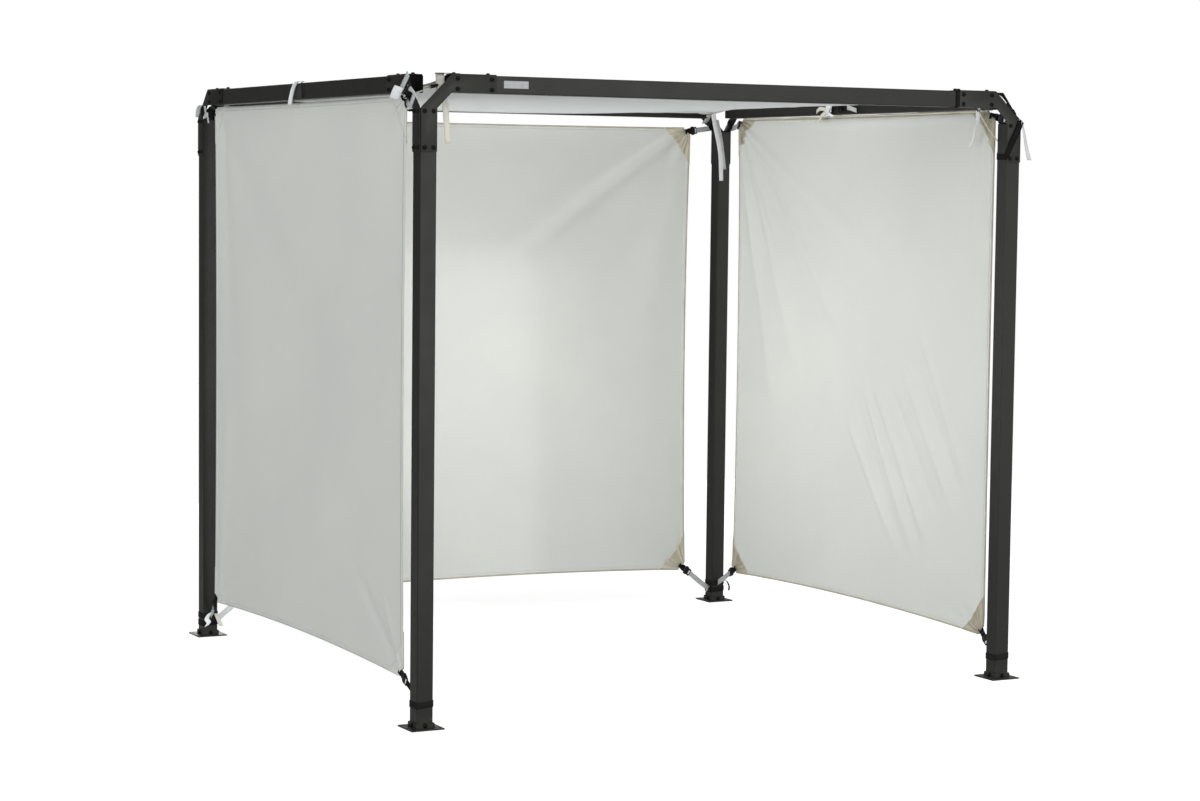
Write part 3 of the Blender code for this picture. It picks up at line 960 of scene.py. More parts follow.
def back_relief(a, b, wide, tall):
    """Back wall: a long soft valley and a ridge fall from its right top corner."""
    total = belly(a, b, wide, tall, -0.020)
    total = total + corner_creases(a, b, wide, tall, 37, count=6, reach=0.30)
    from_right = np.clip((wide - a) / wide, 0, 1)
    line = tall * (1 - VALLEY_DROP * (from_right / VALLEY_REACH) ** VALLEY_BEND)
    fade = smooth_step(from_right, 0.0, 0.20) * smooth_step(a, 0, 0.3)
    off = (b - line) / VALLEY_HALF
    total += VALLEY_DEEP * fade * np.exp(-np.sqrt(off ** 2 + 0.03))
    total = add_folds(total, a, b, (
        ((wide, tall), (wide * 0.50, tall * 0.64), 0.045, 0.0110, 0.9),
        ((wide, tall), (wide * 0.62, tall * 0.20), 0.12, -0.0040),
        ((wide, tall), (wide * 0.80, tall * 0.10), 0.09, 0.0025),
        ((0, tall), (wide * 0.45, tall * 0.40), 0.09, 0.0070),
        ((0, 0), (wide * 0.5, tall * 0.5), 0.10, -0.0060)))
    return total + ripple(a, b, wide, tall, ((3.1, 2.3, 0.2, 0.0020),
                                             (6.2, 3.3, 1.2, 0.0010)))


def roof_relief(a, b, wide, tall):
    """Roof: hangs from its raised corners, with creases that run to them."""
    s, t = a / wide, b / tall
    arch_s, arch_t = np.sin(math.pi * s), np.sin(math.pi * t)
    total = ROOF_BELLY * arch_s * arch_t - ROOF_CORNER_LIFT * (1 - arch_s) * (1 - arch_t)
    total += arch_s * (ROOF_BACK_BULGE * t ** 3 + ROOF_FRONT_BULGE * (1 - t) ** 3)
    total += arch_t * (ROOF_RIGHT_BULGE * s ** 3 + ROOF_LEFT_BULGE * (1 - s) ** 3)
    total += corner_creases(a, b, wide, tall, 51, count=8, reach=0.55, height=0.0045)
    for long, short, height in ((0.30, 0.20, 0.006), (0.46, 0.12, -0.005),
                                (0.20, 0.44, 0.005), (0.62, 0.22, 0.004)):
        total = add_folds(total, a, b, (
            ((0, 0), (wide * long, tall * short), 0.05, height),
            ((wide, 0), (wide * (1 - short), tall * long), 0.05, -height),
            ((wide, tall), (wide * (1 - long), tall * (1 - short)), 0.05, height),
            ((0, tall), (wide * short, tall * (1 - long)), 0.05, -height)))
    ruffle = 0.0025 * np.sin(21.0 * b + 0.6) * smooth_step(s, 0.9, 1.0)
    return total + ruffle * arch_t


def wall_matrix(axis, side):
    """From (along wall, up) to the wall's plane through the tubes."""
    if axis == "x":
        return axes_matrix(X_WAY, UP, -Y_WAY, Vector((0, side * MIDDLE_Y, 0)))
    return axes_matrix(Y_WAY, UP, X_WAY, Vector((side * MIDDLE_X, 0, 0)))


def wall_sheet(name, axis, side, gaps, top, dips, inside, relief):
    """A wall's sheet, which stops short of the posts by two gaps."""
    half_room = HALF_ROOM_X if axis == "x" else HALF_ROOM_Y
    return Cloth(name, (gaps[0] - half_room, SHEET_BOTTOM), (half_room - gaps[1], top),
                 dips, wall_matrix(axis, side), inside, relief)


WALL_DIPS = (BOTTOM_DIP, UPRIGHT_DIP, TOP_DIP, UPRIGHT_DIP)
RIGHT_DIPS = (BOTTOM_DIP, UPRIGHT_DIP, TOP_DIP, TAUT_DIP)
left_sheet = wall_sheet("left_wall_sheet", "y", -1, LEFT_GAPS, SIDE_TOP, WALL_DIPS,
                        1, left_relief)
right_sheet = wall_sheet("right_wall_sheet", "y", 1, RIGHT_GAPS, SIDE_TOP, RIGHT_DIPS,
                         -1, right_relief)
back_sheet = wall_sheet("back_wall_sheet", "x", 1, BACK_GAPS, BACK_TOP, WALL_DIPS,
                        1, back_relief)
roof_sheet = Cloth("roof_sheet", (ROOF_GAP - HALF_ROOM_X, ROOF_GAP - HALF_ROOM_Y),
                   (HALF_ROOM_X - ROOF_GAP, HALF_ROOM_Y - ROOF_GAP), (ROOF_DIP,) * 4,
                   Matrix.Translation((0, 0, ROOF_LEVEL)), -1, roof_relief)


def cut_corners(shape, cloth):
    """Trims the four corners at 45 degrees, as on the blunt-cornered cloth."""
    turn = cloth.matrix.to_3x3()
    blunt_s, blunt_t = cloth.share(CORNER_BLUNT, CORNER_BLUNT)
    for s, sign_s in ((0, -1), (1, 1)):
        for t, sign_t in ((0, -1), (1, 1)):
            at = (cloth.point(s - sign_s * blunt_s, t) + cloth.point(s, t - sign_t * blunt_t)) / 2
            everything = shape.verts[:] + shape.edges[:] + shape.faces[:]
            bmesh.ops.bisect_plane(shape, geom=everything, dist=SAME_PLACE, plane_co=at,
                                   plane_no=turn @ Vector((sign_s, sign_t, 0)),
                                   clear_outer=True)
    return shape


def edge_strips(cloth, wide, lift=0.0):
    """A strip along each edge of a sheet, cut off at the blunt corners."""
    whole = cloth_shape()
    share_s, share_t = cloth.share(wide, wide)
    strips = (
        (cloth.wide, lambda u, v: cloth.place(u, v * share_t, lift)),
        (cloth.wide, lambda u, v: cloth.place(u, 1 - v * share_t, lift)),
        (cloth.tall, lambda u, v: cloth.place(v * share_s, u, lift)),
        (cloth.tall, lambda u, v: cloth.place(1 - v * share_s, u, lift)),
    )
    for length, place in strips:
        add_shape(whole, mapped_grid(STRIP_COLUMNS, 2, place, (length, wide)))
    return cut_corners(whole, cloth)


def patch_point(cloth, s, t, legs, u, v, lift):
    """A place on a corner patch: u out from the tip, v round from edge to edge."""
    toward_s, toward_t = 1 - 2 * s, 1 - 2 * t
    share_s, share_t = cloth.share(*legs)
    reach = u * (1 - PATCH_HOLLOW * np.sin(math.pi * v))
    angle = v * math.pi / 2
    blend = np.abs(np.cos(angle)) + np.abs(np.sin(angle))
    along = reach * np.cos(angle) / blend
    up = reach * np.sin(angle) / blend
    return cloth.place(s + toward_s * along * share_s, t + toward_t * up * share_t, lift)


def patch_shape(cloth, s, t, legs, lift):
    """A three-cornered patch at one sheet corner; one inside is pleated."""
    pleat = PLEAT if lift > 0 else 0.0

    def place(u, v):
        pleats = pleat * np.sin(v * PLEATS * 2 * math.pi) * np.sin(math.pi * u) ** 0.5
        return patch_point(cloth, s, t, legs, u, v, lift + pleats)

    shape = mapped_grid(*PATCH_GRID, place, (1, 1))
    uv = shape.loops.layers.uv["metres"]
    for face in shape.faces:
        for loop in face.loops:
            reach, around = loop[uv].uv
            angle = around * math.pi / 2
            loop[uv].uv = (reach * legs[0] * math.cos(angle),
                           reach * legs[1] * math.sin(angle))
    bmesh.ops.remove_doubles(shape, verts=shape.verts, dist=CLOTH_WELD)
    return cut_corners(shape, cloth)


def piping_shape(cloth, s, t, legs):
    """Narrow piping sewn along the long side of a patch."""
    def place(u, v):
        return patch_point(cloth, s, t, legs, 0.975 + 0.04 * u, 0.02 + 0.96 * v,
                           PATCH_THICK)

    return mapped_grid(2, 24, place, (0.005, 0.2))


def top_roll_piece(cloth):
    """The right wall's top edge, rolled inwards into a soft uneven tube."""
    def place(u, v):
        thick = ROLL_THIN + (ROLL_THICK - ROLL_THIN) * (1 - u) ** 0.8
        thick = thick * (1 + 0.10 * np.sin(u * 37.0) + 0.06 * np.sin(u * 83.0 + 1.0))
        turn = 2 * math.pi * v
        edge = cloth.place(0.02 + 0.96 * u, np.ones_like(u))
        shift = np.stack([-thick - thick * np.cos(turn), np.zeros_like(u),
                          thick * np.sin(turn) * 0.9 + ROLL_RISE], axis=1)
        return edge + shift

    shape = mapped_grid(120, 14, place, (cloth.tall, 0.05))
    bmesh.ops.remove_doubles(shape, verts=shape.verts, dist=CLOTH_WELD)
    bmesh.ops.holes_fill(shape, edges=shape.edges, sides=20)
    bmesh.ops.recalc_face_normals(shape, faces=shape.faces)
    return finished("top_roll_right_wall", shape, roll_cloth, (), SOFT_SHARP)


def dress_sheet(cloth, material):
    """Sheet, hem, canvas corner patches inside and pale facings outside."""
    start = cloth.name.replace("_sheet", "")
    shape = mapped_grid(SHEET_COLUMNS, SHEET_ROWS, cloth.place, (cloth.wide, cloth.tall))
    cut_corners(shape, cloth)
    area = sum(face.calc_area() for face in shape.faces)
    sheet = finished("cloth_" + start, shape, material, (cloth.name,),
                     NEVER_SHARP)
    thicken(sheet, CLOTH)

    def trim(name, part, finish, thickness):
        return soft_piece(name + start, part, finish, thickness, ())

    more = [trim("hem_", edge_strips(cloth, HEM_WIDE), hem_cloth, HEM_THICK),
            trim("edge_tape_", edge_strips(cloth, TAPE_WIDE, (HEM_THICK + TAPE_THICK) / 2),
                 edge_tape, TAPE_THICK)]
    roll = [top_roll_piece(cloth)] if cloth is right_sheet else []
    patches, facings, pipings = cloth_shape(), cloth_shape(), cloth_shape()
    legs = PATCH_LEGS[cloth.name]
    facing_legs = [leg * FACING_SHARE for leg in legs]
    for s in (0, 1):
        for t in (0, 1):
            add_shape(patches, patch_shape(cloth, s, t, legs, PATCH_LIFT))
            add_shape(facings, patch_shape(cloth, s, t, facing_legs, FACING_LIFT))
            add_shape(pipings, piping_shape(cloth, s, t, legs))
    canvas = cream_canvas if cloth is back_sheet else beige_canvas
    patch = trim("patches_", patches, canvas, PATCH_THICK)
    piping = trim("patch_piping_", pipings, hem_cloth, PIPING_THICK)
    facing = trim("facings_", facings, material, FACING_THICK)


# Straps

def smooth_route(points, steps):
    """Points on a smooth curve through a few points (Catmull-Rom)."""
    spots = [Vector(point) for point in points]
    spots = [spots[0] * 2 - spots[1], *spots, spots[-1] * 2 - spots[-2]]
    route = []
    for index in range(len(spots) - 3):
        p0, p1, p2, p3 = spots[index:index + 4]
        for step in range(steps):
            t = step / steps
            route.append(0.5 * (2 * p1 + (p2 - p0) * t
                                + (2 * p0 - 5 * p1 + 4 * p2 - p3) * t * t
                                + (3 * p1 - p0 - 3 * p2 + p3) * t ** 3))
    route.append(spots[-2])
    return route


def band_shape(route, across, width):
    """A flat band along a route; across is one direction or one for each end."""
    points = np.array([tuple(point) for point in route])
    steps = np.linalg.norm(np.diff(points, axis=0), axis=1)
    at = np.concatenate([[0], np.cumsum(steps)])
    length = at[-1]
    first, last = across if isinstance(across, tuple) else (across, across)
    first, last = np.array(first.normalized()), np.array(last.normalized())

    def place(u, v):
        index = np.rint(u * (len(points) - 1)).astype(int)
        share = (at[index] / length)[:, None]
        way = first * (1 - share) + last * share
        way /= np.linalg.norm(way, axis=1)[:, None]
        return points[index] + way * ((v - 0.5) * width)[:, None]

    return mapped_grid(len(points) - 1, 3, place, (length, width))


def ring_route(half_a, half_b, corner, steps=5):
    """Rounded rectangle as (a, b) points, closed: its last point is its first."""
    route = []
    for quarter, (sa, sb) in enumerate(((1, 1), (-1, 1), (-1, -1), (1, -1))):
        for step in range(steps + 1):
            angle = math.pi / 2 * (quarter + step / steps)
            route.append((sa * (half_a - corner) + corner * math.cos(angle),
                          sb * (half_b - corner) + corner * math.sin(angle)))
    route.append(route[0])
    return route


def ring_shape(matrix, half_a, half_b, corner, width, wobble, chance):
    """A closed webbing loop in a matrix's XY plane, width along its Z."""
    route = []
    for a, b in ring_route(half_a, half_b, corner):
        tilt = wobble * (a / half_a + chance.uniform(-0.03, 0.03))
        route.append(matrix @ Vector((a, b, tilt)))
    route[-1] = route[0]
    return merged(band_shape(route, matrix.to_3x3() @ UP, width), THREAD_WELD)


def post_ring(around, half, wobble, chance):
    """A webbing loop round a post, with its half width to the steel given."""
    half = half + WEB_THICK / 2
    return ring_shape(Matrix.Translation(around), half, half, POST_LOOP_ROUND, WEB_WIDTH,
                      wobble, chance)


def buckle_shape():
    """Side-release buckle, its length along Y from the strap side at 0."""
    half, deep = BUCKLE_WIDE / 2, BUCKLE_DEEP / 2
    whole = bmesh.new()
    body = box_shape((-half, 0.013, -deep), (half, 0.034, deep), 0.0022, 3)
    mouth = [vert for vert in body.verts if vert.co.y > 0.031]
    bmesh.ops.scale(body, vec=(0.86, 1, 0.92), verts=mouth)
    add_shape(whole, body)
    # Prong, rail and neck: half width, from, to, half depth, round, and their place
    parts = ((0.0032, -0.0075, 0.0075, 0.0034, 0.0018, half + 0.0004, 0.024),
             (0.0028, 0, 0.015, 0.0026, 0.0012, half - 0.0022, 0),
             (0.0022, 0, 0.012, 0.0026, 0.0012, half - 0.0036, 0.034))
    for sign in (-1, 1):
        for wide, low, high, thick, rounding, out, up in parts:
            part = box_shape((-wide, low, -thick), (wide, high, thick), rounding)
            add_shape(whole, part, Matrix.Translation((sign * out, up, 0)))
    bars = ((0.0, 0.0030, half), (0.0112, 0.0135, half - 0.002),
            (0.0425, BUCKLE_LONG, half - 0.0016))
    for low, high, reach in bars:
        add_shape(whole, box_shape((-reach, low, -0.0024), (reach, high, 0.0024), 0.0011))
    for step in range(3):
        rib = box_shape((-0.008, 0.0145, deep - 0.0006), (0.008, 0.0165, deep + 0.0005),
                        0.0004, 1)
        add_shape(whole, rib, Matrix.Translation((0, 0.0035 * step, 0)))
    return whole


def buckle_piece(name, seat, stands_for=()):
    finished(name, placed(buckle_shape(), seat), plastic, stands_for)


def bar_axes(start, end, flat_side):
    run = (end - start).normalized()
    thick = Vector(flat_side) - run * Vector(flat_side).dot(run)
    thick.normalize()
    return thick.cross(run), run, thick


# Cloth of the loop, the webbing and the sewn tab, where they differ from the rest
STRAP_CLOTHS = {
    "left_wall_strap_top_front_left": (grey_webbing, grey_webbing, white_ribbon),
    "left_wall_strap_low_front_left": (charcoal_webbing, black_webbing, black_webbing),
    "right_wall_strap_low_front_right": (charcoal_webbing, black_webbing, black_webbing),
    "back_wall_strap_low_back_left": (charcoal_webbing, white_ribbon, white_ribbon),
    "roof_strap_front_right": (black_webbing, cream_webbing, cream_webbing),
    "roof_strap_front_left": (black_webbing, cream_webbing, cream_webbing),
}


def dress_strap(node, ring, start, tip, flat_side, chance):
    """Loop round the steel, webbing, buckle and the sewn tab on the sheet."""
    usual = (charcoal_webbing if "_low_" in node else black_webbing, grey_webbing,
             black_webbing)
    loop_cloth, web_cloth, tab_cloth = STRAP_CLOTHS.get(node, usual)
    across, way, thick = bar_axes(start, tip, flat_side)
    soft_piece(node + "_loop", ring, loop_cloth, WEB_THICK, (node,))
    buckle_end = tip - way * BUCKLE_BACK
    buckle_start = buckle_end - way * BUCKLE_LONG
    lean = Matrix.Rotation(chance.uniform(-BUCKLE_LEAN, BUCKLE_LEAN), 4, "Y")
    buckle_piece(node + "_buckle", axes_matrix(across, way, thick, buckle_start) @ lean,
                 (node,))
    slack = thick * (WEB_SLACK * chance.choice((-1, 1)))
    web_end = buckle_start + way * WEB_END
    middle = (start + web_end) / 2 + slack
    first = start - way * WEB_LAP
    route = smooth_route([first, first.lerp(middle, 0.6), middle, web_end], 6)
    soft_piece(node + "_web", band_shape(route, across, WEB_WIDTH), web_cloth, WEB_THICK,
               (node,))
    turn = [buckle_start + way * along + thick * out for along, out in SLOT_TURN]
    slot = band_shape(smooth_route(turn, 3), across, SLOT_WIDE)
    soft_piece(node + "_slot", slot, white_ribbon, SLOT_THICK, (node,))
    tab_start = buckle_end - way * TAB_START
    tab = cloth_shape()
    for sign in (-1, 1):
        near, far = (thick * sign * open_by for open_by in TAB_OPEN)
        route = smooth_route([tab_start, tip + near, tip + way * TAB_REACH + far], 6)
        add_shape(tab, band_shape(route, across, WEB_WIDTH))
    soft_piece(node + "_tab", tab, tab_cloth, RIBBON_THICK, (node,))


def arm_site(corner, side, slide):
    """Frame of a slanting arm: X out, Y inward, Z up along it."""
    lean = 1 / math.sqrt(2)
    along = Vector((lean, lean, 0))
    out = Vector((-lean, lean, 0))
    foot = Vector((0, HEIGHT - CORNER_CUT, PLATE / 2))
    middle = foot - out * (ARM_WIDTH / 2) + along * slide
    return corner_axes(corner, side) @ axes_matrix(out, UP, along, middle)


def arm_ring(corner, side, slide, chance):
    """Webbing loop round an arm, and the point on its inner edge."""
    site = arm_site(corner, side, slide)
    rim = site @ Vector((-(ARM_WIDTH / 2 + FIT + CAD_WEB_THICK / 2), 0, 0))
    ring = ring_shape(site, ARM_WIDTH / 2 + FIT + WEB_THICK / 2,
                      PLATE / 2 + FIT + WEB_THICK / 2, ARM_LOOP_ROUND, WEB_WIDTH,
                      ARM_LOOP_WOBBLE, chance)
    return ring, rim


def wall_straps(start_name, axis, side, ends, gaps, top, chance):
    """Four straps of one wall sheet; ends are its two frame corners."""
    matrix = wall_matrix(axis, side)
    half_room = HALF_ROOM_X if axis == "x" else HALF_ROOM_Y
    plate_side = "end" if axis == "x" else "side"
    plane = (Y_WAY if axis == "x" else X_WAY) * side
    blunt = CORNER_BLUNT / 2
    level = FOOT_LOOP_LEVEL + (LOOP_STEP if axis == "y" else 0)
    for sign, corner, gap in zip((-1, 1), ends, gaps):
        tip_along = sign * (half_room - gap - blunt)
        tip = matrix @ Vector((tip_along, top - blunt, 0))
        ring, rim = arm_ring(corner, plate_side, ARM_SLIDE, chance)
        dress_strap(start_name + "_strap_top_" + corner, ring, rim, tip, plane, chance)
        tip = matrix @ Vector((tip_along, SHEET_BOTTOM + blunt, 0))
        ring = post_ring(post_middle(corner) + UP * level, TUBE / 2 + FIT,
                         POST_LOOP_WOBBLE, chance)
        rim = matrix @ Vector((sign * (half_room - FIT - CAD_WEB_THICK / 2), level, 0))
        dress_strap(start_name + "_strap_low_" + corner, ring, rim, tip, plane, chance)


def roof_straps(chance):
    """A strap to each roof corner, from an arm or from round the post."""
    reach = ROOF_GAP + CORNER_BLUNT / 2
    off = FIT + CAD_WEB_THICK / 2
    for corner, (sx, sy) in CORNERS.items():
        tip = Vector((sx * (HALF_ROOM_X - reach), sy * (HALF_ROOM_Y - reach),
                      ROOF_LEVEL + ROOF_CORNER_LIFT))
        if corner == ROOF_POST_CORNER:
            rim = Vector((sx * (HALF_ROOM_X - off), sy * (HALF_ROOM_Y - off),
                          ROOF_LOOP_LEVEL))
            shift = Vector((sx, sy, 0)) * (PLATE + FIT) / 2
            ring = post_ring(post_middle(corner) + shift + UP * ROOF_LOOP_LEVEL,
                             TUBE / 2 + FIT + (PLATE + FIT) / 2, POST_LOOP_SLANT, chance)
            flat_side = (sx, sy, -1)
        else:
            side = "side" if corner == ROOF_SIDE_CORNER else "end"
            ring, rim = arm_ring(corner, side, ROOF_ARM_SLIDE, chance)
            flat_side = UP
        dress_strap("roof_strap_" + corner, ring, rim, tip, flat_side, chance)


def hang(rows, base=(0, 0, 0)):
    """Loose tails and ribbons, each along a few listed points.

    A row is a name, cloth, width, the way across it (or one for each end) and
    points from its top to its bottom, measured from a base point.
    """
    for name, cloth, width, across, points in rows:
        spots = [[start + step for start, step in zip(base, point)] for point in points]
        soft_piece(name, band_shape(smooth_route(spots, 7), across, width), cloth,
                   RIBBON_THICK)


LOOSE_ENDS = (
    ("tail_front_left", cream_webbing, 0.022, X_WAY,
     [(-1.060, -0.940, 2.125), (-1.052, -0.932, 2.095), (-1.042, -0.922, 2.035),
      (-1.032, -0.912, 1.972)]),
    ("tail_front_right", grey_webbing, 0.024, (X_WAY + Y_WAY, X_WAY + Y_WAY * 0.3),
     [(1.2225, -1.098, 2.092), (1.232, -1.101, 2.045), (1.241, -1.104, 1.995),
      (1.254, -1.106, 1.948)]),
    ("strap_end_front_left_outer", grey_webbing, 0.026, Vector((0, 0.67, 0.74)),
     [(-1.2235, -1.009, 2.199), (-1.2240, -0.985, 2.176), (-1.2250, -0.953, 2.148)]),
    ("strap_end_front_left_fold", white_ribbon, 0.037,
     (Vector((0.6, -0.75, -0.3)), Vector((0.6, -0.70, -0.2))),
     [(-1.2365, -0.966, 2.156), (-1.2395, -0.948, 2.136), (-1.2375, -0.926, 2.116)]),
    ("strap_end_front_left_bar", plastic, 0.008, Vector((0, 0.48, 0.88)),
     [(-1.2275, -0.978, 2.131), (-1.2280, -1.004, 2.145), (-1.2275, -1.030, 2.159)]),
    ("strap_end_front_left_loop", black_webbing, 0.008, X_WAY + UP * 0.6,
     [(-1.2240, -0.956, 2.133), (-1.2265, -0.975, 2.137), (-1.2250, -1.000, 2.128),
      (-1.2240, -1.008, 2.117), (-1.2260, -0.992, 2.110), (-1.2250, -0.966, 2.116),
      (-1.2240, -0.956, 2.129)]),
    ("strap_end_front_left_over", grey_webbing, 0.022, Vector((0, 0.45, 0.89)),
     [(-1.2250, -1.012, 2.152), (-1.2255, -1.045, 2.143), (-1.2235, -1.078, 2.122)]),
    ("roof_tab_front_left", cream_webbing, 0.030, X_WAY - Y_WAY * 0.5,
     [(-1.098, -0.986, 2.207), (-1.097, -0.987, 2.180), (-1.094, -0.985, 2.148)]),
    ("roof_strap_end_front_left", black_webbing, 0.018, X_WAY * 0.3 + Y_WAY,
     [(-1.118, -0.990, 2.2035), (-1.080, -1.000, 2.2045), (-1.040, -1.020, 2.2035)]),
    ("tail_back_right_long", white_ribbon, 0.022, (X_WAY, X_WAY + Y_WAY * 0.2),
     [(1.098, 0.985, 2.165), (1.105, 0.975, 2.10), (1.125, 0.965, 1.99),
      (1.130, 0.960, 1.865)]),
    ("tail_back_right_short", grey_webbing, 0.018, X_WAY,
     [(1.120, 0.990, 2.130), (1.140, 0.985, 2.04), (1.156, 0.980, 1.915)]),
    ("tail_back_left_top", grey_webbing, 0.018, Y_WAY,
     [(-1.2235, 1.005, 2.135), (-1.227, 0.985, 2.110), (-1.225, 0.968, 2.090),
      (-1.222, 0.964, 2.066)]),
    ("tail_back_left_outer", grey_webbing, 0.020, X_WAY,
     [(-1.205, 1.1035, 2.140), (-1.212, 1.112, 2.122), (-1.214, 1.114, 2.092)]),
    ("tail_low_back_left_crumpled", white_ribbon, 0.020, (X_WAY, X_WAY + UP * 0.4),
     [(-1.182, 1.0345, 0.094), (-1.196, 1.0285, 0.086), (-1.205, 1.0300, 0.070),
      (-1.199, 1.0240, 0.056), (-1.208, 1.0235, 0.042)]),
    ("tail_low_back_left_beige", cream_webbing, 0.018, X_WAY,
     [(-1.166, 1.0300, 0.090), (-1.158, 1.022, 0.066), (-1.149, 1.016, 0.040)]),
    ("tail_low_back_right_grey", grey_webbing, 0.016, X_WAY + Y_WAY,
     [(1.152, 1.050, 0.066), (1.138, 1.043, 0.058), (1.122, 1.036, 0.038)]),
    ("tail_low_back_right_black", black_webbing, 0.012, Y_WAY,
     [(1.205, 1.030, 0.094), (1.226, 1.026, 0.088), (1.238, 1.024, 0.064),
      (1.236, 1.024, 0.046)]),
    ("tail_low_front_left_black", black_webbing, 0.014, X_WAY,
     [(-1.1885, -1.030, 0.112), (-1.1895, -1.026, 0.096), (-1.1890, -1.027, 0.058)]),
)


def beam_ring(name, beam, at, width, material, slack, chance):
    """A band tied round a beam, square across it."""
    low, high = (Vector(end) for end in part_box(beam))
    along = 0 if high[0] - low[0] > high[1] - low[1] else 1
    middle = (low + high) / 2
    middle[along] = at
    axis, side = (X_WAY, Y_WAY) if along == 0 else (Y_WAY, X_WAY)
    half = TUBE / 2 + WEB_THICK / 2 + slack
    ring = ring_shape(axes_matrix(side, UP, axis, middle), half, half, BAND_ROUND, width,
                      BAND_WOBBLE, chance)
    soft_piece(name, ring, material, BAND_THICK)


def knot(name, at, width):
    """A small flattened knot of ribbon across Y: three turns over one another."""
    whole = cloth_shape()
    for turn, size in ((0.5, 1.0), (-0.6, 0.9), (1.4, 0.7)):
        lean = Y_WAY * math.cos(turn) + UP * math.sin(turn)
        swell = lean.cross(Y_WAY.cross(UP)).normalized()
        out = Y_WAY.cross(UP).normalized() * 0.004 * size
        reach = swell * width * 0.6 * size
        points = [Vector(at) - reach, Vector(at) - reach * 0.5 + out,
                  Vector(at) + reach * 0.5 + out, Vector(at) + reach]
        add_shape(whole, band_shape(smooth_route(points, 4), lean, width * 0.7 * size))
    soft_piece(name, whole, white_ribbon, RIBBON_THICK)


def front_beam_tie(chance):
    """A thin band round the front beam and the knob on top of it."""
    beam_ring("beam_tie_front_right", "front_beam", TIE_AT, 0.012, black_webbing, 0.0006,
              chance)
    knob = box_shape((-0.005, -0.007, 0), (0.005, 0.007, 0.007), 0.002)
    seat = Matrix.Translation((TIE_AT, -MIDDLE_Y - 0.014, BEAM_TOP + 0.0016))
    finished("beam_tie_knob", placed(knob, seat), plastic)


def left_beam_ribbon():
    """A ribbon laid over the left beam from outside; its end down the outer face is charcoal,
    painted shade of the ribbon there.
    """
    hang((
        ("left_beam_ribbon", white_ribbon, 0.015, X_WAY * 0.887 - Y_WAY * 0.462,
         [(-0.011, 0.063, 2.118), (-0.012, 0.050, 2.145), (-0.012, 0.024, 2.180),
          (-0.008, 0.000, BEAM_TOP + 0.004), (0.012, -0.014, BEAM_TOP + 0.006)]),
        # The ribbon's end down the outer face: charcoal webbing as painted shade of the white
        # ribbon.
        ("left_beam_ribbon_end", charcoal_webbing, 0.010, Y_WAY,
         [(0.012, -0.014, BEAM_TOP + 0.005), (-0.004, -0.034, 2.194),
          (-0.005, -0.046, 2.168), (-0.003, -0.042, 2.142)]),
    ), (-OUTER_X, 0, 0))


def right_beam_bow(chance):
    """A bow on the right beam, its ends, and a buckled strap behind it."""
    beam_ring("right_beam_bow_ring", "right_beam", BOW_AT, 0.016, white_ribbon, 0.0010,
              chance)
    knot("right_beam_bow_knot", (HALF_ROOM_X - 0.010, BOW_AT - 0.01, 2.160), 0.040)
    knot("right_beam_bow_knot_low", (HALF_ROOM_X - 0.013, BOW_AT - 0.005, 2.146), 0.026)
    hang((
        ("right_beam_bow_back", cream_webbing, 0.016, UP,
         [(-0.008, 0.010, 2.158), (-0.015, 0.045, 2.162), (-0.010, 0.080, 2.150)]),
        ("right_beam_bow_tail_back", cream_webbing, 0.016,
         (Y_WAY + UP, Y_WAY + UP * 0.5),
         [(-0.012, 0, 2.150), (-0.018, 0.030, 2.132), (-0.014, 0.050, 2.116),
          (-0.018, 0.075, 2.102)]),
        ("right_beam_bow_tail_front", white_ribbon, 0.016,
         (Y_WAY - UP, Y_WAY - UP * 0.4),
         [(-0.012, -0.008, 2.150), (-0.018, -0.030, 2.138), (-0.015, -0.055, 2.130)]),
        ("right_beam_strap", black_webbing, 0.022, UP,
         [(-0.004, -0.020, 2.162), (-0.006, -0.070, 2.164), (-0.004, -0.150, 2.162)]),
        ("right_beam_strap_end", grey_webbing, 0.018, UP,
         [(-0.006, -0.145, 2.163), (-0.010, -0.175, 2.160), (-0.006, -0.215, 2.150)]),
    ), (HALF_ROOM_X, BOW_AT, 0))
    at = Vector((HALF_ROOM_X - 0.012, BOW_AT - 0.060, 2.163))
    buckle_piece("right_beam_buckle", axes_matrix(UP, -Y_WAY, -X_WAY, at))


def right_front_ribbon(chance):
    """A ribbon knotted round the right beam near its front end."""
    beam_ring("right_front_ribbon_ring", "right_beam", -0.914, 0.020, white_ribbon, 0.0012,
              chance)
    knot("right_front_ribbon_knot", (HALF_ROOM_X - 0.006, -0.916, 2.112), 0.026)
    hang((
        ("right_front_ribbon_drop", white_ribbon, 0.020, Y_WAY,
         [(-0.002, -0.914, 2.140), (-0.006, -0.915, 2.120), (-0.004, -0.916, 2.092)]),
        ("right_front_ribbon_tail_back", white_ribbon, 0.010, (Y_WAY, Y_WAY + UP * 0.5),
         [(-0.003, -0.912, 2.096), (-0.008, -0.902, 2.060), (-0.004, -0.886, 2.026),
          (-0.006, -0.866, 1.994)]),
        ("right_front_ribbon_tail_front", cream_webbing, 0.009, (Y_WAY, Y_WAY + UP * 0.5),
         [(-0.003, -0.920, 2.096), (-0.007, -0.948, 2.062), (-0.004, -0.984, 2.030),
          (-0.006, -1.006, 2.006)]),
    ), (HALF_ROOM_X, 0, 0))


def left_front_edge_tie():
    """A thin tie from the left sheet's front edge to the post."""
    hang([("left_front_edge_tie", black_webbing, 0.008, UP,
           [(-MIDDLE_X, -0.935, 2.079), (-1.188, -0.985, 2.0795),
            (-MIDDLE_X, -(HALF_ROOM_Y - 0.001), 2.077)])])


def corner_point(depth, level):
    """A point over the front right corner, on the diagonal through it."""
    return (WIDTH / 2 - depth, depth - DEPTH / 2, level)


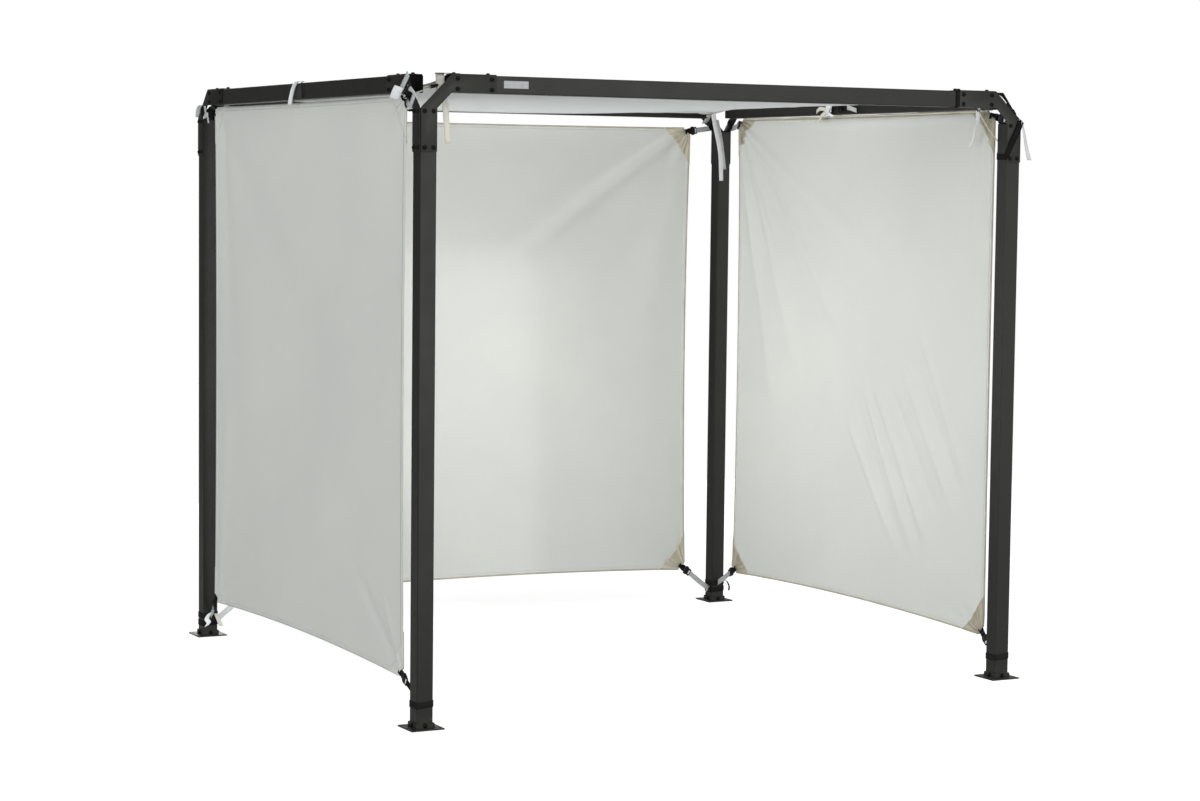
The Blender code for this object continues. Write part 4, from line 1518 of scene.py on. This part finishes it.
def corner_webbing():
    """Webbing from the roof's corner, over the arms and down the post."""
    across = (X_WAY + Y_WAY).normalized()
    face = -(DEPTH / 2) - 0.0030
    hang((
        ("corner_webbing_black", black_webbing, 0.016, across,
         [corner_point(0.042, 2.160), corner_point(0.030, 2.138),
          corner_point(0.012, 2.108), corner_point(-0.0015, 2.088),
          corner_point(-0.0020, 2.072)]),
        ("corner_webbing_leg", black_webbing, 0.024, Vector((0.93, 0, -0.36)),
         [(1.2165, face, 2.090), (1.196, face - 0.0010, 2.048),
          (1.172, face - 0.0008, 2.004), (1.150, face, 1.960)]),
        ("corner_webbing_white", white_ribbon, 0.019, across,
         [corner_point(0.066, 2.192), corner_point(0.054, 2.180),
          corner_point(0.040, 2.156)]),
        ("corner_webbing_roof", black_webbing, 0.020, across,
         [corner_point(0.128, 2.174), corner_point(0.104, 2.190),
          corner_point(0.086, 2.197)]),
    ))
    run = Vector(corner_point(0.060, 2.186)) - Vector(corner_point(0.098, 2.197))
    run.normalize()
    seat = axes_matrix(across, run, across.cross(run), corner_point(0.098, 2.195))
    buckle_piece("corner_webbing_buckle", seat)


dress_cad_steel()
dice = random.Random(5)
for corner_name in CORNERS:
    for plate_side in ("end", "side"):
        bent_plate(corner_name, plate_side)
        plate_bolts(corner_name, plate_side, dice)
    collar_bolts(corner_name, dice)
end_plugs()
label_plate()
for wall in (left_sheet, right_sheet, back_sheet):
    dress_sheet(wall, wall_cloth)
dress_sheet(roof_sheet, roof_cloth)
wall_straps("left_wall", "y", -1, ("front_left", "back_left"), LEFT_GAPS, SIDE_TOP, dice)
wall_straps("right_wall", "y", 1, ("front_right", "back_right"), RIGHT_GAPS, SIDE_TOP, dice)
wall_straps("back_wall", "x", 1, ("back_left", "back_right"), BACK_GAPS, BACK_TOP, dice)
roof_straps(dice)
hang(LOOSE_ENDS)
front_beam_tie(dice)
left_beam_ribbon()
right_beam_bow(dice)
right_front_ribbon(dice)
left_front_edge_tie()
corner_webbing()


# Studio

# Lamps: name, place, aim, width and height, watts, spread in degrees, colour, and
# the rays that pass it by
LAMPS = (
    ("high_key", (4.1, -8.5, 4.05), (0, 0, 1.0), (0.45, 0.30), 135, 180, WHITE, "glossy"),
    ("wide_key", (3.1, -8.5, 4.40), (0, 0, 1.0), (1.9, 0.5), 78, 180, WHITE, "glossy"),
    ("low_front", (1.3, -9.4, 0.6), (0, 0, 1.1), (2.2, 1.4), 115, 180, WHITE, "glossy"),
    ("steel_card", (3.2, -9.4, 1.3), (0.4, 0, 1.3), (4.6, 3.0), 176, 180, WHITE, "diffuse"),
    ("room_glow", (-1.04, 0.28, 1.25), (1.19, 0.28, 1.25), (1.5, 1.5), 15, 116, WHITE, ""),
    ("left_side", (-8.5, -2.5, 3.0), (-1.2, 0, 1.1), (3.5, 3.5), 138, 180,
     (0.94, 1.0, 0.98), ""),
    ("back_side", (2.0, 8.8, 3.2), (0, 1.0, 1.1), (3.5, 3.5), 150, 180, WHITE, ""),
)


def studio_camera():
    """The view from the front left: level turn, slight down tilt, slight roll."""
    right = Vector((math.cos(CAMERA_YAW), -math.sin(CAMERA_YAW), 0))
    ahead = Vector((math.sin(CAMERA_YAW) * math.cos(CAMERA_PITCH),
                    math.cos(CAMERA_YAW) * math.cos(CAMERA_PITCH),
                    -math.sin(CAMERA_PITCH)))
    over = right.cross(ahead)
    side = right * math.cos(CAMERA_ROLL) + over * math.sin(CAMERA_ROLL)
    over = over * math.cos(CAMERA_ROLL) - right * math.sin(CAMERA_ROLL)
    data = bpy.data.cameras.new("studio_camera")
    data.lens = CAMERA_LENS
    data.sensor_width = SENSOR
    data.sensor_fit = "HORIZONTAL"
    camera = in_scene("studio_camera", data)
    camera.matrix_world = axes_matrix(side, over, -ahead, CAMERA_AT)
    bpy.context.scene.camera = camera


def soft_light(name, at, aim, size, power, spread, colour, passed_by):
    """An area lamp that the camera doesn't see, nor the rays that pass it by."""
    data = bpy.data.lights.new(name, "AREA")
    data.shape = "RECTANGLE"
    data.size, data.size_y = size
    data.energy = power
    data.spread = math.radians(spread)
    data.color = colour
    lamp = in_scene(name, data)
    way = Vector(aim) - Vector(at)
    lamp.rotation_euler = way.to_track_quat("-Z", "Y").to_euler()
    lamp.location = at
    lamp.visible_camera = False
    if passed_by:
        setattr(lamp, "visible_" + passed_by, False)


def studio():
    """The floor, the room's light, the lamps and plain colour handling."""
    shape = bmesh.new()
    bmesh.ops.create_grid(shape, x_segments=2, y_segments=2, size=FLOOR_HALF)
    mesh = bpy.data.meshes.new("studio_floor")
    shape.to_mesh(mesh)
    shape.free()
    mesh.materials.append(make_studio_floor())
    in_scene("studio_floor", mesh)
    bpy.context.scene.world = make_studio_world()
    for lamp in LAMPS:
        soft_light(*lamp)
    bpy.context.scene.view_settings.view_transform = "Standard"


studio_camera()
studio()
